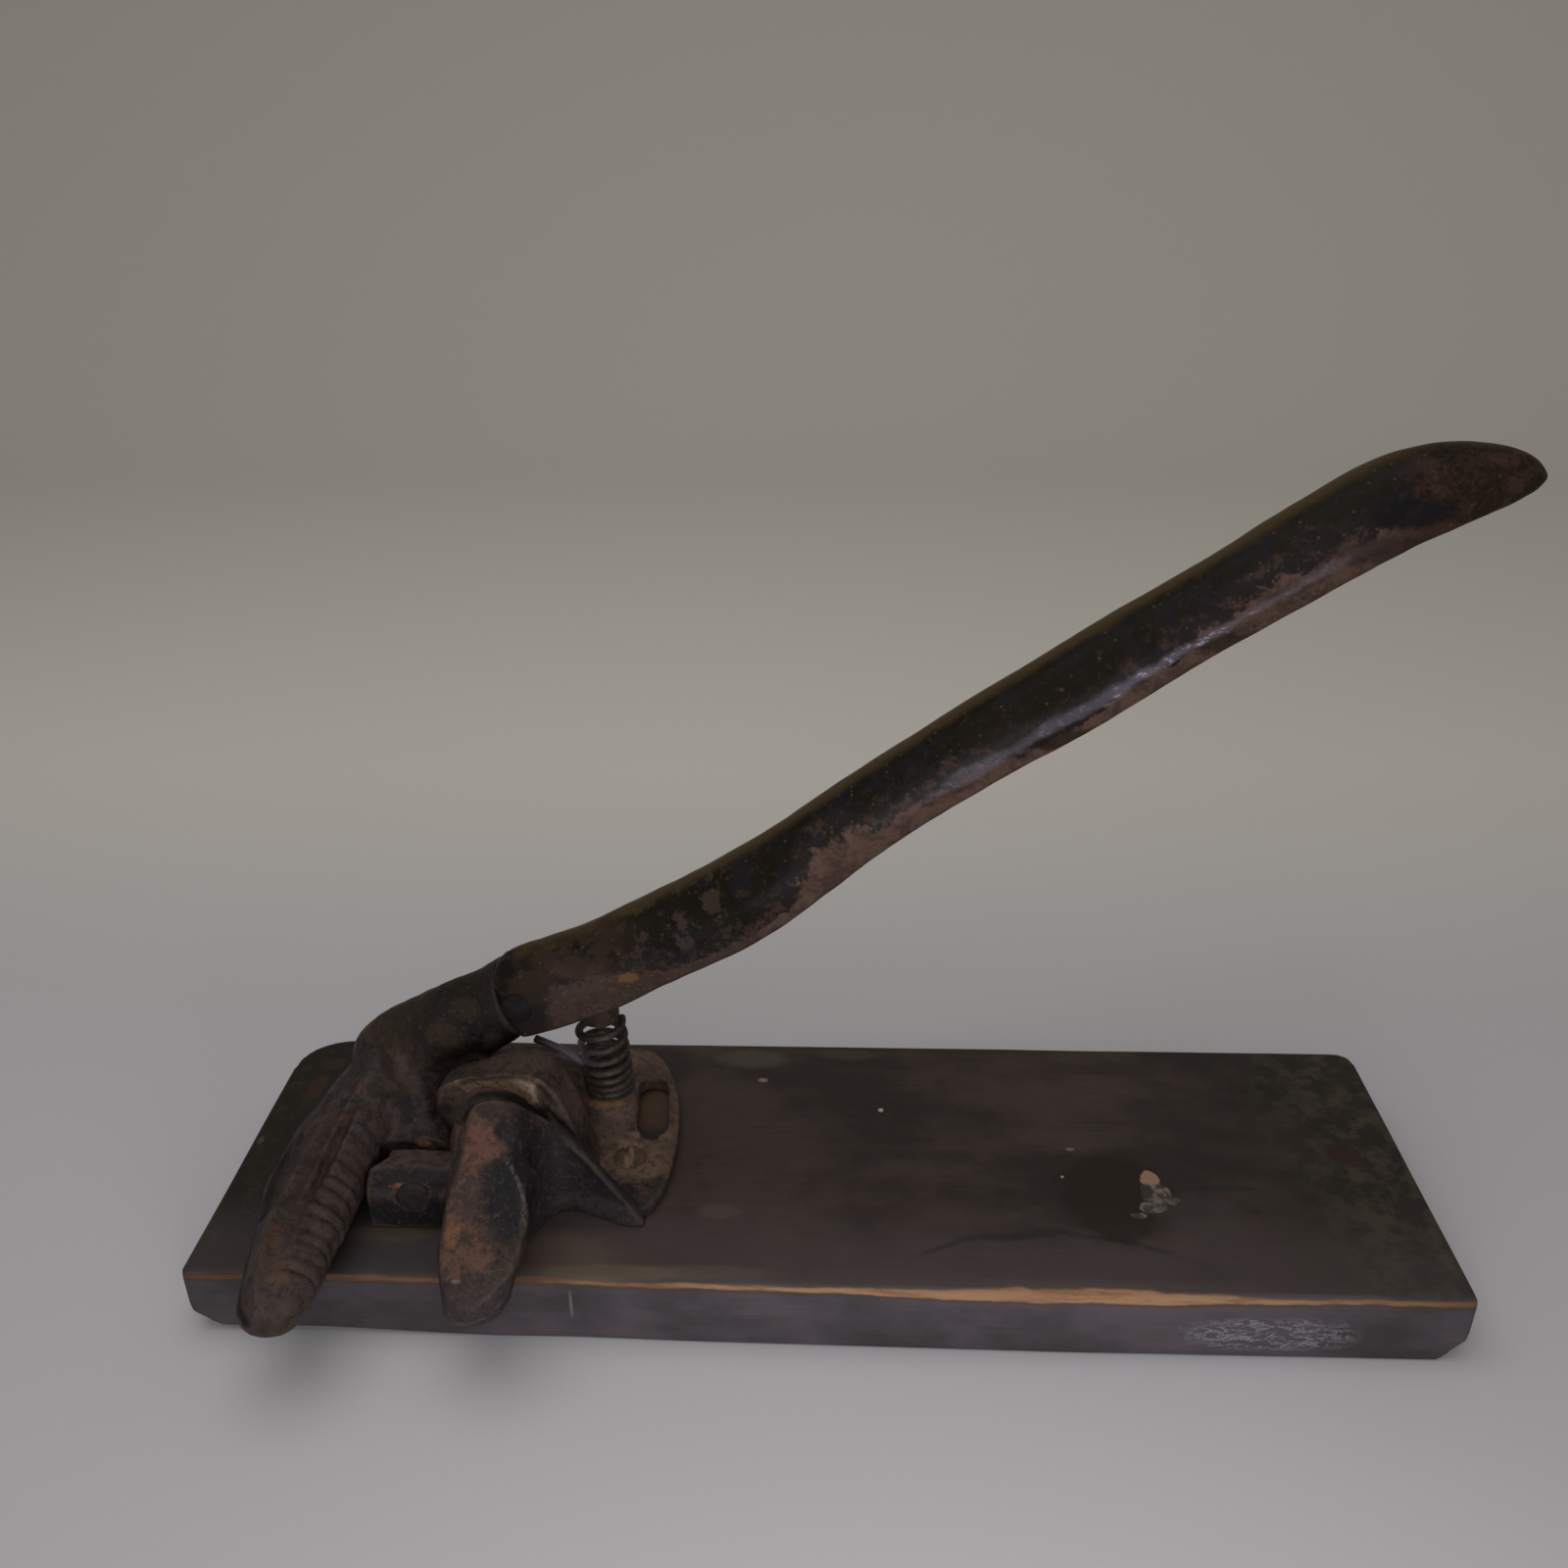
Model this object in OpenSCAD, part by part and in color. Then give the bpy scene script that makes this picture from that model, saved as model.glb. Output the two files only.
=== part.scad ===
// Board-mounted lever nutcracker: a cast base with a fixed jaw stands on a
// wooden board, and a long sprung lever carries the ribbed moving jaw.
// The origin is the centre of the board's underside. +X runs towards the
// handle's tip, +Y to the back and +Z up. All sizes are millimetres.

/* [Board] */
// Length of the board
board_l = 350; // [345:1:380]
// Width of the board
board_w = 106; // [104:1:112]
// Thickness of the board
board_t = 22; // [18:1:30]
// Radius of the board's worn back left corner
worn_corner_r = 15; // [6:1:20]
// Radius of the board's back right corner
corner_r = 5; // [2:1:8]
// Radius of the board's two front corners
front_corner_r = 1.5; // [0.5:0.5:4]
// Bevel along the lower edge of each end
end_bevel = 7; // [2:1:9]

/* [Base casting] */
// Thickness of the pad that is screwed to the board
pad_t = 4; // [3.5:0.5:5]
// Width of the guide ear between the fixed jaw and the handle
ear_t = 14; // [11:0.5:14]
// Height of the front pin block above the board
block_h = 17; // [16:0.5:18]

/* [Pivot] */
// Diameter of the pivot pin
pin_d = 7; // [6:0.5:7.5]
// Outer diameter of the lever's hub
hub_d = 15.6; // [14:0.2:16]
// Height of the pivot above the board
pivot_h = 10.5; // [10.4:0.1:10.8]
// Radial running clearance of the hub on its pin
hub_clear = 0.08; // [0.05:0.01:0.1]

/* [Handle] */
// Half width of the handle across its grip
grip_half_w = 11.5; // [10.5:0.5:12]
// Wall thickness of the handle, which is open below
handle_wall = 3.5; // [3:0.5:4]
// Diameter of the rivet that holds the handle on the lever's tang
rivet_d = 5; // [4:0.5:5.5]

/* [Moving jaw] */
// Number of crushing ribs
rib_count = 13; // [9:1:15]
// Height of each rib above the jaw face
rib_h = 1.1; // [0.6:0.1:1.4]

/* [Return spring] */
// Diameter of the spring wire
wire_d = 2.3; // [2:0.1:2.4]
// Outer diameter of the spring coil
spring_d = 15.4; // [14:0.2:16]
// Number of turns
spring_turns = 6.5; // [6:0.5:7]

/* [Hidden] */
$fn = 64;

// The castings are drawn from the board's front top edge: x as above, y from
// the front edge to the back, z up from the board's top.
pivot_x = -115;
lever_y = 60;
fit = 0.05;

// Front block, guide ear and rear ear, as stretches of y.
block_y = [18.5, 34.8];
ear_y0 = 46.5 - ear_t;
ear_y1 = 46.5;
rear_ear_y = [79.8, 91];
hub_y = [35.3, 79.3];
slab_y = [47.4, 72.6];

// Screws that hold the casting: x, y.
screw_places = [[-58, 45.6], [-134, 87], [-92, 87]];
screw_head_d = 10.4;
screw_head_h = 2.8;
screw_shank_d = 4.8;
screw_len = 19;
slot_w = 1.3;
slot_depth = 1.2;
screw_drop = 0.4;

// Empty oval slot at the back right of the pad, in the raised floor there.
oval_place = [-53.3, 67];
oval_l = 28;
oval_w = 9.4;
floor_h = 5.3;

// Spring seat on the casting and the lug under the handle.
seat_x = -66;
seat_y = 66;
seat_h = 13.4;
seat_r = 8;
lug_x = -66.8;
lug_y = 61.5;
lug_h = 42.5;
lug_l = 28;
tail_root = [-73.1, 62, 25.4];
tail_end = [-85.6, 57.5, 37.6];

// Handle path: x, z, half height, half width, channel share.
handle_path = [
    [-90.5, 52.2, 12.6, 12.6, 1],
    [-84, 54.8, 13.0, 12.6, 1],
    [-74, 58.6, 13.0, 12.4, 1],
    [-63, 63.4, 12.9, 12.1, 1],
    [-52, 69.4, 12.7, 11.8, 1],
    [-40, 75.9, 12.6, 11.6, 1],
    [-28, 82.5, 12.5, grip_half_w, 1],
    [-16, 90.6, 12.1, grip_half_w, 1],
    [-4, 100.3, 11.3, grip_half_w, 1],
    [8, 110.3, 10.7, grip_half_w, 1],
    [24, 122.3, 10.4, grip_half_w, 1],
    [44, 136.4, 10.6, grip_half_w, 1],
    [64, 149.6, 10.9, grip_half_w, 1],
    [84, 163.8, 10.7, grip_half_w, 1],
    [104, 177.5, 10.8, grip_half_w, 1],
    [122, 189.1, 11.1, grip_half_w, 1],
    [136, 197.4, 11.4, 11.2, 0.9],
    [147, 201.9, 10.8, 10.6, 0.7],
    [156, 204.3, 9.0, 9.6, 0.4],
    [163, 205.3, 6.8, 8.0, 0.15],
    [168, 205.4, 4.2, 5.6, 0.05],
    [171, 205.2, 1.4, 2.2, 0.0]
];

// Moving jaw, from its root to its nose:
// y, left edge x and z, spine x and z, ridge x and z, face x and z, bottom z.
jaw_path = [
    [66, -139, 26, -134, 32, -126, 35, -116, 29, 20],
    [58, -143, 25, -137.5, 33, -128.5, 36, -117, 29, 14],
    [49, -150, 21.5, -142, 30.5, -131, 34.5, -119, 26, 7],
    [38, -155, 17, -147, 26.5, -134.4, 30, -126.2, 20, 2],
    [26, -157.8, 14, -150, 23, -138.6, 26, -130.3, 16.5, 1.2],
    [14, -158, 12.5, -151.4, 20.5, -141.2, 23, -131.4, 14.5, 1.2],
    [2, -156, 11.5, -150.5, 18.8, -142.3, 20.6, -132.6, 13.2, 1.2],
    [-10, -153.8, 11, -149, 17.3, -142.4, 18.8, -133, 12.3, 0.8],
    [-17, -152.6, 10.5, -148.2, 16, -142.4, 17.4, -134, 11.4, 0.6],
    [-22.5, -150.8, 10, -147.2, 14, -142, 15, -135.4, 10.2, 1.2],
    [-26.4, -147.5, 9, -145, 11, -142, 11.4, -138, 9, 4.2]
];
furrow_depth = 1.4;
rib_from = 37;
rib_to = -18;

// Fixed jaw seen from the front (x, z), from the side (y, z) and from above.
anvil_front = [
    [-103, -4], [-103, 27], [-101, 37], [-98.4, 43], [-94.5, 45.8],
    [-89, 45.6], [-84.5, 43.6], [-80.5, 38.8], [-74, 29.6], [-68, 22.6],
    [-62, 16.6], [-56, 10.4], [-52, 4.6], [-50.4, 1.8], [-51, -4]
];
anvil_side = [
    [34, 0.1], [34, 50], [20, 50], [20, 45.6], [14, 37.4], [8, 30.6],
    [0, 24], [-8, 19], [-14, 15.8], [-18.5, 12.6], [-21, 8.8],
    [-20.6, 5], [-18, 1.8], [-14, 0.1]
];
anvil_plan = [
    [-102.2, 25.5], [-102.2, 2], [-100.9, -10], [-98, -17], [-94, -21],
    [-90, -20.4], [-86, -17.2], [-83.4, -11.6], [-82.6, -4], [-83.2, 6],
    [-82.4, 12.4], [-80.6, 18], [-77.8, 23.6], [-73.5, 26.2], [-67.5, 25.2],
    [-62, 22.4], [-56, 20.2], [-49, 20], [-49, 24.5], [-56, 24.6],
    [-62, 26.6], [-67.5, 29.6], [-73.5, 30.6], [-80, 28], [-86, 25.5]
];

// Guide ear seen from the front (x, z).
ear_front = [
    [-99, 1], [-100.5, 10], [-104.5, 18], [-109, 25], [-110.5, 32],
    [-109.5, 37.6], [-104.5, 41], [-96, 43.2], [-86, 44], [-79.5, 42.4],
    [-75, 37], [-72, 29.4], [-69.6, 21], [-67.6, 12], [-66.2, 5.5], [-65.6, 1]
];

// ---- Shared geometry ----

// A closed outline with its corners cut n times, so that it runs smoothly.
function cut_corners(p, n = 1) =
    n == 0 ? p :
    cut_corners([
        for (i = [0 : len(p) - 1])
            let (a = p[i], b = p[(i + 1) % len(p)])
            each [0.75 * a + 0.25 * b, 0.25 * a + 0.75 * b]
    ], n - 1);

function reversed(v) = [for (i = [len(v) - 1 : -1 : 0]) v[i]];

// A value between rows of a table, on a curve through the rows.
function between(a, b, c, d, t) =
    0.5 * (2 * b + (c - a) * t + (2 * a - 5 * b + 4 * c - d) * t * t
        + (3 * b - a - 3 * c + d) * t * t * t);

function row(table, s) =
    let (
        last = len(table) - 1,
        i = min(floor(s), last - 1),
        t = s - i
    )
    between(table[max(i - 1, 0)], table[i], table[i + 1],
        table[min(i + 2, last)], t);

// A solid skinned over rings of equal point counts, closed by flat ends.
module loft(rings) {
    n = len(rings[0]);
    m = len(rings);
    polyhedron(
        points = [for (r = rings) each r],
        faces = concat(
            [[for (j = [n - 1 : -1 : 0]) j]],
            [[for (j = [0 : n - 1]) (m - 1) * n + j]],
            [
                for (i = [0 : m - 2], j = [0 : n - 1])
                    [i * n + j, i * n + (j + 1) % n, (i + 1) * n + (j + 1) % n]
            ],
            [
                for (i = [0 : m - 2], j = [0 : n - 1])
                    [i * n + j, (i + 1) * n + (j + 1) % n, (i + 1) * n + j]
            ]
        ),
        convexity = 6
    );
}

// Moves the castings' drawing frame onto the board.
module on_board() {
    translate([0, -board_w / 2, board_t]) children();
}

// Extrudes an (x, z) outline from y0 to y1.
module along_y(y0, y1) {
    translate([0, y1, 0]) rotate([90, 0, 0]) linear_extrude(y1 - y0) children();
}

// Extrudes a (y, z) outline from x0 to x1.
module along_x(x0, x1) {
    translate([x0, 0, 0]) rotate([90, 0, 90]) linear_extrude(x1 - x0) children();
}

// A round bar along Y at the pivot.
module pivot_bar(r, y0, y1) {
    translate([pivot_x, y1, pivot_h]) rotate([90, 0, 0]) cylinder(r = r, h = y1 - y0);
}

// ---- Board ----

module rounded_plan(l, w, radii) {
    // radii: front left, front right, back right, back left
    places = [[-1, -1], [1, -1], [1, 1], [-1, 1]];
    polygon([
        for (k = [0 : 3], a = [0 : 15 : 90])
            let (r = radii[k])
            [
                places[k][0] * (l / 2 - r) + r * cos(180 + 90 * k + a),
                places[k][1] * (w / 2 - r) + r * sin(180 + 90 * k + a)
            ]
    ]);
}

module board() {
    radii = [front_corner_r, front_corner_r, corner_r, worn_corner_r];
    color("#2b1d1a") difference() {
        intersection() {
            linear_extrude(board_t) rounded_plan(board_l, board_w, radii);
            translate([0, board_w / 2 + 1, 0]) rotate([90, 0, 0])
                linear_extrude(board_w + 2) polygon([
                    [-board_l / 2 + end_bevel, 0], [board_l / 2 - end_bevel, 0],
                    [board_l / 2, end_bevel * 1.2], [board_l / 2, board_t],
                    [-board_l / 2, board_t], [-board_l / 2, end_bevel * 1.2]
                ]);
        }
        on_board() for (p = screw_places)
            translate([p[0], p[1], -screw_len]) cylinder(d = screw_shank_d, h = screw_len + 1);
    }
}

// ---- Base casting ----

module pad() {
    linear_extrude(pad_t) polygon(cut_corners([
        [-124, 46], [-124.4, 20], [-104, 20], [-86, 21], [-79, 27.5],
        [-72, 29.6], [-63, 25.4], [-52, 20.5], [-45.5, 32],
        [-43.8, 55], [-46, 76], [-53, 95], [-64, 98.5], [-128, 98.5],
        [-142, 94], [-143, 74], [-128, 66]
    ], 2));
}

module front_block() {
    along_x(-124.6, -99) polygon([
        [block_y[0], 0], [block_y[1], 0], [block_y[1], block_h - 3],
        [block_y[1] - 3, block_h], [block_y[0] + 6, block_h],
        [block_y[0] + 2, block_h - 2], [block_y[0], block_h - 5.4]
    ]);
}

module rear_ear() {
    along_y(rear_ear_y[0], rear_ear_y[1]) union() {
        translate([pivot_x, pivot_h]) circle(r = 9.5);
        translate([pivot_x - 13, 0]) polygon([[0, 0], [26, 0], [21.5, 13], [4.5, 13]]);
    }
}

module fixed_jaw() {
    intersection() {
        along_y(-25, 33) polygon(cut_corners(anvil_front, 1));
        along_x(-110, -45) polygon(anvil_side);
        translate([0, 0, -5]) linear_extrude(60) polygon(cut_corners(anvil_plan, 1));
    }
}

module guide_ear() {
    along_y(ear_y0, ear_y1) polygon(cut_corners(ear_front, 1));
    // Low web that ties the ear to the fixed jaw's wall.
    translate([-97, 29, 1]) cube([34, ear_y0 - 28, 9]);
}

// Floor round the spring's seat, a step higher than the pad in front of it.
module raised_floor() {
    translate([0, 0, 1]) linear_extrude(floor_h - 1) polygon(cut_corners([
        [-80, 50], [-63, 53.5], [-54, 54.2], [-47.5, 52.8], [-46.4, 60],
        [-48.4, 75], [-54.5, 92], [-66, 95.5], [-80, 95.5]
    ], 1));
}

module spring_seat() {
    // Ramp behind the ear, and the flat seat with its spigot.
    along_y(ear_y1 - 0.5, 76) polygon([
        [-92, 1], [-92, 15], [-86, 18], [-78, 15.5], [-71, 11.5], [-66, 9],
        [-60, 5], [-57, 3], [-57, 1]
    ]);
    translate([seat_x, seat_y, 1]) cylinder(r = seat_r, h = seat_h - 1);
    translate([seat_x, seat_y, seat_h - 1]) cylinder(r1 = 4.2, r2 = 3.4, h = 4.5);
}

module screw_hole() {
    translate([0, 0, -1]) cylinder(d = screw_shank_d + 0.4, h = 8);
    translate([0, 0, pad_t - screw_drop - screw_head_h])
        cylinder(d1 = screw_shank_d + 0.4, d2 = screw_head_d + 0.4, h = screw_head_h);
    translate([0, 0, pad_t - screw_drop]) cylinder(d = screw_head_d + 0.4, h = 30);
}

module oval_slot() {
    translate([oval_place[0], oval_place[1], -1]) rotate(6) linear_extrude(20) union() {
        square([oval_w, oval_l - oval_w], center = true);
        for (s = [-1, 1]) translate([0, s * (oval_l - oval_w) / 2]) circle(d = oval_w);
    }
}

module base_casting() {
    color("#33261f") on_board() difference() {
        union() {
            pad();
            front_block();
            rear_ear();
            fixed_jaw();
            guide_ear();
            raised_floor();
            spring_seat();
        }
        // Bore for the pin, and room for the hub between the two supports.
        pivot_bar(pin_d / 2 + fit, 10, 95);
        pivot_bar(hub_d / 2 + 0.5, block_y[1], rear_ear_y[0]);
        for (p = screw_places) translate([p[0], p[1], 0]) screw_hole();
        oval_slot();
    }
}

// ---- Lever ----

// Ring of the moving jaw at place s along its path. The ribs press the
// face in and out as y changes.
function rib_wave(y) =
    y > rib_from || y < rib_to ? 0 :
    rib_h * (0.5 - 0.5 * cos(360 * rib_count * (rib_from - y) / (rib_from - rib_to)));

function jaw_ring(s) =
    let (
        p = row(jaw_path, s),
        w = rib_wave(p[0]),
        zb = p[9]
    )
    [
        for (q = cut_corners([
            [p[1] + 3, zb], [p[1], (p[2] + zb) / 2], [p[1] + 0.6, p[2]],
            [p[3], p[4]], [p[5], p[6] - furrow_depth],
            [p[5] + 3 + w * 0.5, p[6] - 1.2 + w * 0.5],
            [p[7] + w, p[8]], [p[7] + w * 0.5, (p[8] + zb) / 2 - 1], [p[7] - 3, zb]
        ], 1))
            [q[0], p[0], q[1]]
    ];

// Places along the jaw: coarse at the root and nose, four to a rib between.
function jaw_place(y) =
    let (
        i = max([for (k = [0 : len(jaw_path) - 1]) jaw_path[k][0] >= y ? k : 0]),
        j = min(i, len(jaw_path) - 2)
    )
    j + (jaw_path[j][0] - y) / (jaw_path[j][0] - jaw_path[j + 1][0]);

module moving_jaw() {
    steps = rib_count * 4;
    ribbed = [for (k = [0 : steps]) rib_from - (rib_from - rib_to) * k / steps];
    loft([
        for (y = concat([66, 62, 58, 53, 49, 45, 41], ribbed,
            [-20, -22.5, -24.6, -26.3]))
            jaw_ring(jaw_place(y))
    ]);
}

// Handle ring: a rounded section, open below by a channel of share c.
function handle_ring(x, z, h, w, c, tilt) =
    let (
        gw = w - handle_wall,
        gd = h - handle_wall * 1.3,
        outer = [for (a = [-30 : 12 : 210]) [w * cos(a), h * sin(a)]],
        side = [
            [-w * 0.81, -h * 0.77], [-gw * 0.97, -h * 0.77], [-gw, -h * 0.2],
            [-gw * 0.72, gd * 0.75]
        ],
        channel = concat(side, [[0, gd]], [for (q = reversed(side)) [-q[0], q[1]]]),
        closed = [for (k = [0 : 8]) [w * cos(222 + 12 * k), h * sin(222 + 12 * k)]],
        below = [for (k = [0 : 8]) channel[k] * c + closed[k] * (1 - c)]
    )
    [
        for (q = reversed(concat(outer, below)))
            [x - q[1] * sin(tilt), lever_y + q[0], z + q[1] * cos(tilt)]
    ];

function handle_tilt(s) =
    let (
        a = row(handle_path, max(s - 0.3, 0)),
        b = row(handle_path, min(s + 0.3, len(handle_path) - 1))
    )
    atan2(b[1] - a[1], b[0] - a[0]);

module handle_shell() {
    last = len(handle_path) - 1;
    loft([
        for (s = [0 : 1 : last])
            let (p = row(handle_path, s))
            handle_ring(p[0], p[1], p[2], p[3], max(p[4], 0), handle_tilt(s))
    ]);
}

// Root of the lever and the tang that runs inside the handle.
root_path = [
    [-139, 27.5, 5.5, 8.0, 30], [-134.5, 28.8, 8.8, 10.6, 30],
    [-128, 31, 11, 12, 30], [-116, 36.5, 12, 12.5, 30],
    [-106.6, 42, 12.1, 12.5, 30], [-99, 46.9, 11.9, 12.4, 27],
    [-91.2, 51.8, 11.8, 12.2, 23]
];
tang_path = [
    [-95, 49, 7.0, 7.6, 22], [-86, 53.4, 7.0, 7.6, 22], [-79.4, 56, 6.2, 7.2, 22]
];

function oval_ring(x, z, h, w, tilt) =
    [
        for (a = [345 : -15 : 0])
            let (u = w * cos(a), v = h * sin(a) * (1 - 0.06 * pow(cos(a), 2)))
            [x - v * sin(tilt), lever_y + u, z + v * cos(tilt)]
    ];

module bar_loft(path, step) {
    loft([
        for (s = [0 : step : len(path) - 1])
            let (p = row(path, s))
            oval_ring(p[0], p[1], p[2], p[3], p[4])
    ]);
}

module lever_web() {
    // Upright web between the root and the hub.
    along_y(slab_y[0] + 1.2, slab_y[1] - 1.2) polygon([
        [-122.6, 9], [-120.2, 5.4], [-115, 3.2], [-109.8, 5.4], [-107.4, 9],
        [-106.5, 14], [-104, 20], [-101, 28], [-99, 36], [-104, 42],
        [-118, 38], [-132, 30], [-137, 22], [-131, 14]
    ]);
    // Concave crotch in front of the web, above the hub.
    intersection() {
        along_x(-127, -114) polygon([
            [35.6, 9], [35.6, 17], [38, 17.8], [41, 20], [43.6, 23.4],
            [46, 28.4], [48, 34], [49.6, 40], [51, 9]
        ]);
        linear_extrude(45) polygon([
            [-127, 52], [-127, 34], [-122, 36], [-118.2, 39], [-115.8, 42.6],
            [-114.8, 46.4], [-114.4, 52]
        ]);
    }
}

module lever_casting() {
    color("#3a2c26") on_board() difference() {
        union() {
            moving_jaw();
            bar_loft(root_path, 0.5);
            bar_loft(tang_path, 1);
            lever_web();
            pivot_bar(hub_d / 2, hub_y[0], hub_y[1]);
        }
        pivot_bar(pin_d / 2 + hub_clear, 30, 85);
        rivet_bar(rivet_d / 2 + fit);
    }
}

// ---- Handle and rivet ----

rivet_x = -87.5;
rivet_h = 55;
// Flats on both sides of the handle that the rivet's heads sit on.
rivet_seat = 11.2;
rivet_head_r = 4.6;

module rivet_bar(r) {
    translate([rivet_x, lever_y + 20, rivet_h]) rotate([90, 0, 0]) cylinder(r = r, h = 40);
}

module handle() {
    color("#1a1614") on_board() difference() {
        union() {
            handle_shell();
            // Lug that holds the top of the spring, hung from the channel's roof.
            translate([lug_x, lug_y, lug_h]) cylinder(r = 6, h = lug_l);
        }
        rivet_bar(rivet_d / 2 + fit);
        for (s = [-1, 1])
            translate([rivet_x, lever_y + s * rivet_seat, rivet_h]) rotate([-90 * s, 0, 0])
                cylinder(r = rivet_head_r + 0.3, h = 4);
    }
}

module handle_rivet() {
    color("#2c2320") on_board() {
        rivet_half = rivet_seat + 0.5;
        translate([rivet_x, lever_y + rivet_half, rivet_h]) rotate([90, 0, 0])
            cylinder(r = rivet_d / 2, h = 2 * rivet_half);
        for (s = [-1, 1])
            translate([rivet_x, lever_y + s * (rivet_seat + 0.02), rivet_h])
                rotate([-90 * s, 0, 0]) rotate_extrude() polygon([
                    [0, 0], [rivet_head_r, 0], [rivet_head_r, 1.2],
                    [3.8, 2.2], [2.2, 2.9], [0, 3.1]
                ]);
    }
}

// ---- Pin, spring and screws ----

module pin_head() {
    rotate_extrude() polygon([
        [0, 0], [5, 0], [5, 0.6], [4.2, 1.3], [2.4, 1.8], [0, 2]
    ]);
}

module pivot_pin() {
    color("#4a3428") on_board() {
        pivot_bar(pin_d / 2, block_y[0] - 0.1, rear_ear_y[1] + 0.1);
        translate([pivot_x, block_y[0] - 0.02, pivot_h]) rotate([90, 0, 0]) pin_head();
        translate([pivot_x, rear_ear_y[1] + 0.02, pivot_h]) rotate([-90, 0, 0]) pin_head();
    }
}

// The coil leans from its seat to the lug. Its end turns lie close.
function coil_place(t) =
    let (
        r = (spring_d - wire_d) / 2,
        a = 360 * spring_turns * t + 200,
        z0 = seat_h + wire_d / 2 + 0.1,
        z1 = lug_h - wire_d / 2 - 0.1
    )
    [
        seat_x + (lug_x - seat_x) * t + r * cos(a),
        seat_y + (lug_y - seat_y) * t + r * sin(a),
        z0 + (z1 - z0) * t
    ];

// A round wire swept through places on its path.
module wire(places) {
    last = len(places) - 1;
    loft([
        for (i = [0 : last])
            let (
                d = places[min(i + 1, last)] - places[max(i - 1, 0)],
                f = d / norm(d),
                u = cross(f, [0, 0, 1]) / norm(cross(f, [0, 0, 1])),
                v = cross(u, f)
            )
            [
                for (k = [0 : 7])
                    places[i] + wire_d / 2 * (cos(45 * k) * u + sin(45 * k) * v)
            ]
    ]);
}

module return_spring() {
    steps = round(spring_turns * 18);
    color("#57504a") on_board() {
        wire([for (i = [0 : steps]) coil_place(i / steps)]);
        // Straight tail of the wire, which leaves the coil to the left.
        wire([tail_end, (tail_end + tail_root) / 2, tail_root]);
    }
}

module wood_screw() {
    top = pad_t - screw_drop;
    difference() {
        union() {
            translate([0, 0, top - screw_head_h])
                cylinder(d1 = screw_shank_d, d2 = screw_head_d, h = screw_head_h);
            translate([0, 0, top - screw_head_h + 0.01]) mirror([0, 0, 1])
                cylinder(d = screw_shank_d - 0.1, h = screw_len + top - screw_head_h - 4);
            translate([0, 0, -screw_len + 4.05]) mirror([0, 0, 1])
                cylinder(d1 = screw_shank_d - 0.1, d2 = 0.8, h = 4);
        }
        translate([-screw_head_d, -slot_w / 2, top - slot_depth])
            cube([2 * screw_head_d, slot_w, 5]);
    }
}

module base_screws() {
    turns = [-68, 20, 75];
    color("#6a5138") on_board() for (i = [0 : 2])
        translate([screw_places[i][0], screw_places[i][1], 0]) rotate(turns[i]) wood_screw();
}

board();
base_casting();
lever_casting();
handle();
handle_rivet();
pivot_pin();
return_spring();
base_screws();
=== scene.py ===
# %% [markdown]
# # A lever nutcracker on its board
#
# The tool is an old kitchen nutcracker. A cast iron base is screwed to a dark wooden
# board, a cast lever turns on a pin through that base, and a long bent handle is riveted
# over the end of the lever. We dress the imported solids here: each piece gets its real
# skin, its rounding and its wear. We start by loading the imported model, because every
# later position is taken from it.

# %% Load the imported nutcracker
import math
import bpy
import numpy as np
from mathutils import Matrix, Vector, noise


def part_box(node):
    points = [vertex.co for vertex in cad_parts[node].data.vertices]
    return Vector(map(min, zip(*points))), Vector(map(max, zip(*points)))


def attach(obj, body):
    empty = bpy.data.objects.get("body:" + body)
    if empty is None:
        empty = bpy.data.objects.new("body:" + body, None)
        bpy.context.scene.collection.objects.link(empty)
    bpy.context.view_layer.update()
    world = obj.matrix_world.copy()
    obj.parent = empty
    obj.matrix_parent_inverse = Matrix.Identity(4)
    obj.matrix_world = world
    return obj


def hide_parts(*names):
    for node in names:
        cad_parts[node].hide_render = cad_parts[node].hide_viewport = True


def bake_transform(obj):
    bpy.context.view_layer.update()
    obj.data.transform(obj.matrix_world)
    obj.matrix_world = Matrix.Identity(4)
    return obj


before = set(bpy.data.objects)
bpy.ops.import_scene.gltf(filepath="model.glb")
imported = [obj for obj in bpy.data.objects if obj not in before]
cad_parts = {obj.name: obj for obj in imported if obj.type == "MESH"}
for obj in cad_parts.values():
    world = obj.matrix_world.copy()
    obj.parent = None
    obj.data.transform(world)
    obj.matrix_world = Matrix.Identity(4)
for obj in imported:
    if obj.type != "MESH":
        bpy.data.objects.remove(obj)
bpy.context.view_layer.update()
print("nodes:", sorted(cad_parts))

# %% [markdown]
# ## Measuring from the board
#
# A maker measures this tool from the board: x from the board's middle, y from its front
# edge to the back, and z up from its top face. All sizes below are in millimetres in that
# frame, and two helpers turn them into Blender's metres. The board's own place comes from
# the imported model.

# %% The board's frame
MM = 0.001
board_low, board_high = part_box("board")
BOARD_L = (board_high.x - board_low.x) / MM
BOARD_W = (board_high.y - board_low.y) / MM
BOARD_T = (board_high.z - board_low.z) / MM


def at(x, y, z):
    return Vector((x * MM, board_low.y + y * MM, board_high.z + z * MM))


def to_metres(points):
    low = np.array([0.0, board_low.y, board_high.z])
    return np.asarray(points, float) * MM + low


def to_mm(points):
    low = np.array([0.0, board_low.y, board_high.z])
    return (np.asarray(points, float) - low) / MM


print("board:", round(BOARD_L), "x", round(BOARD_W), "x", round(BOARD_T), "mm")
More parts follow.
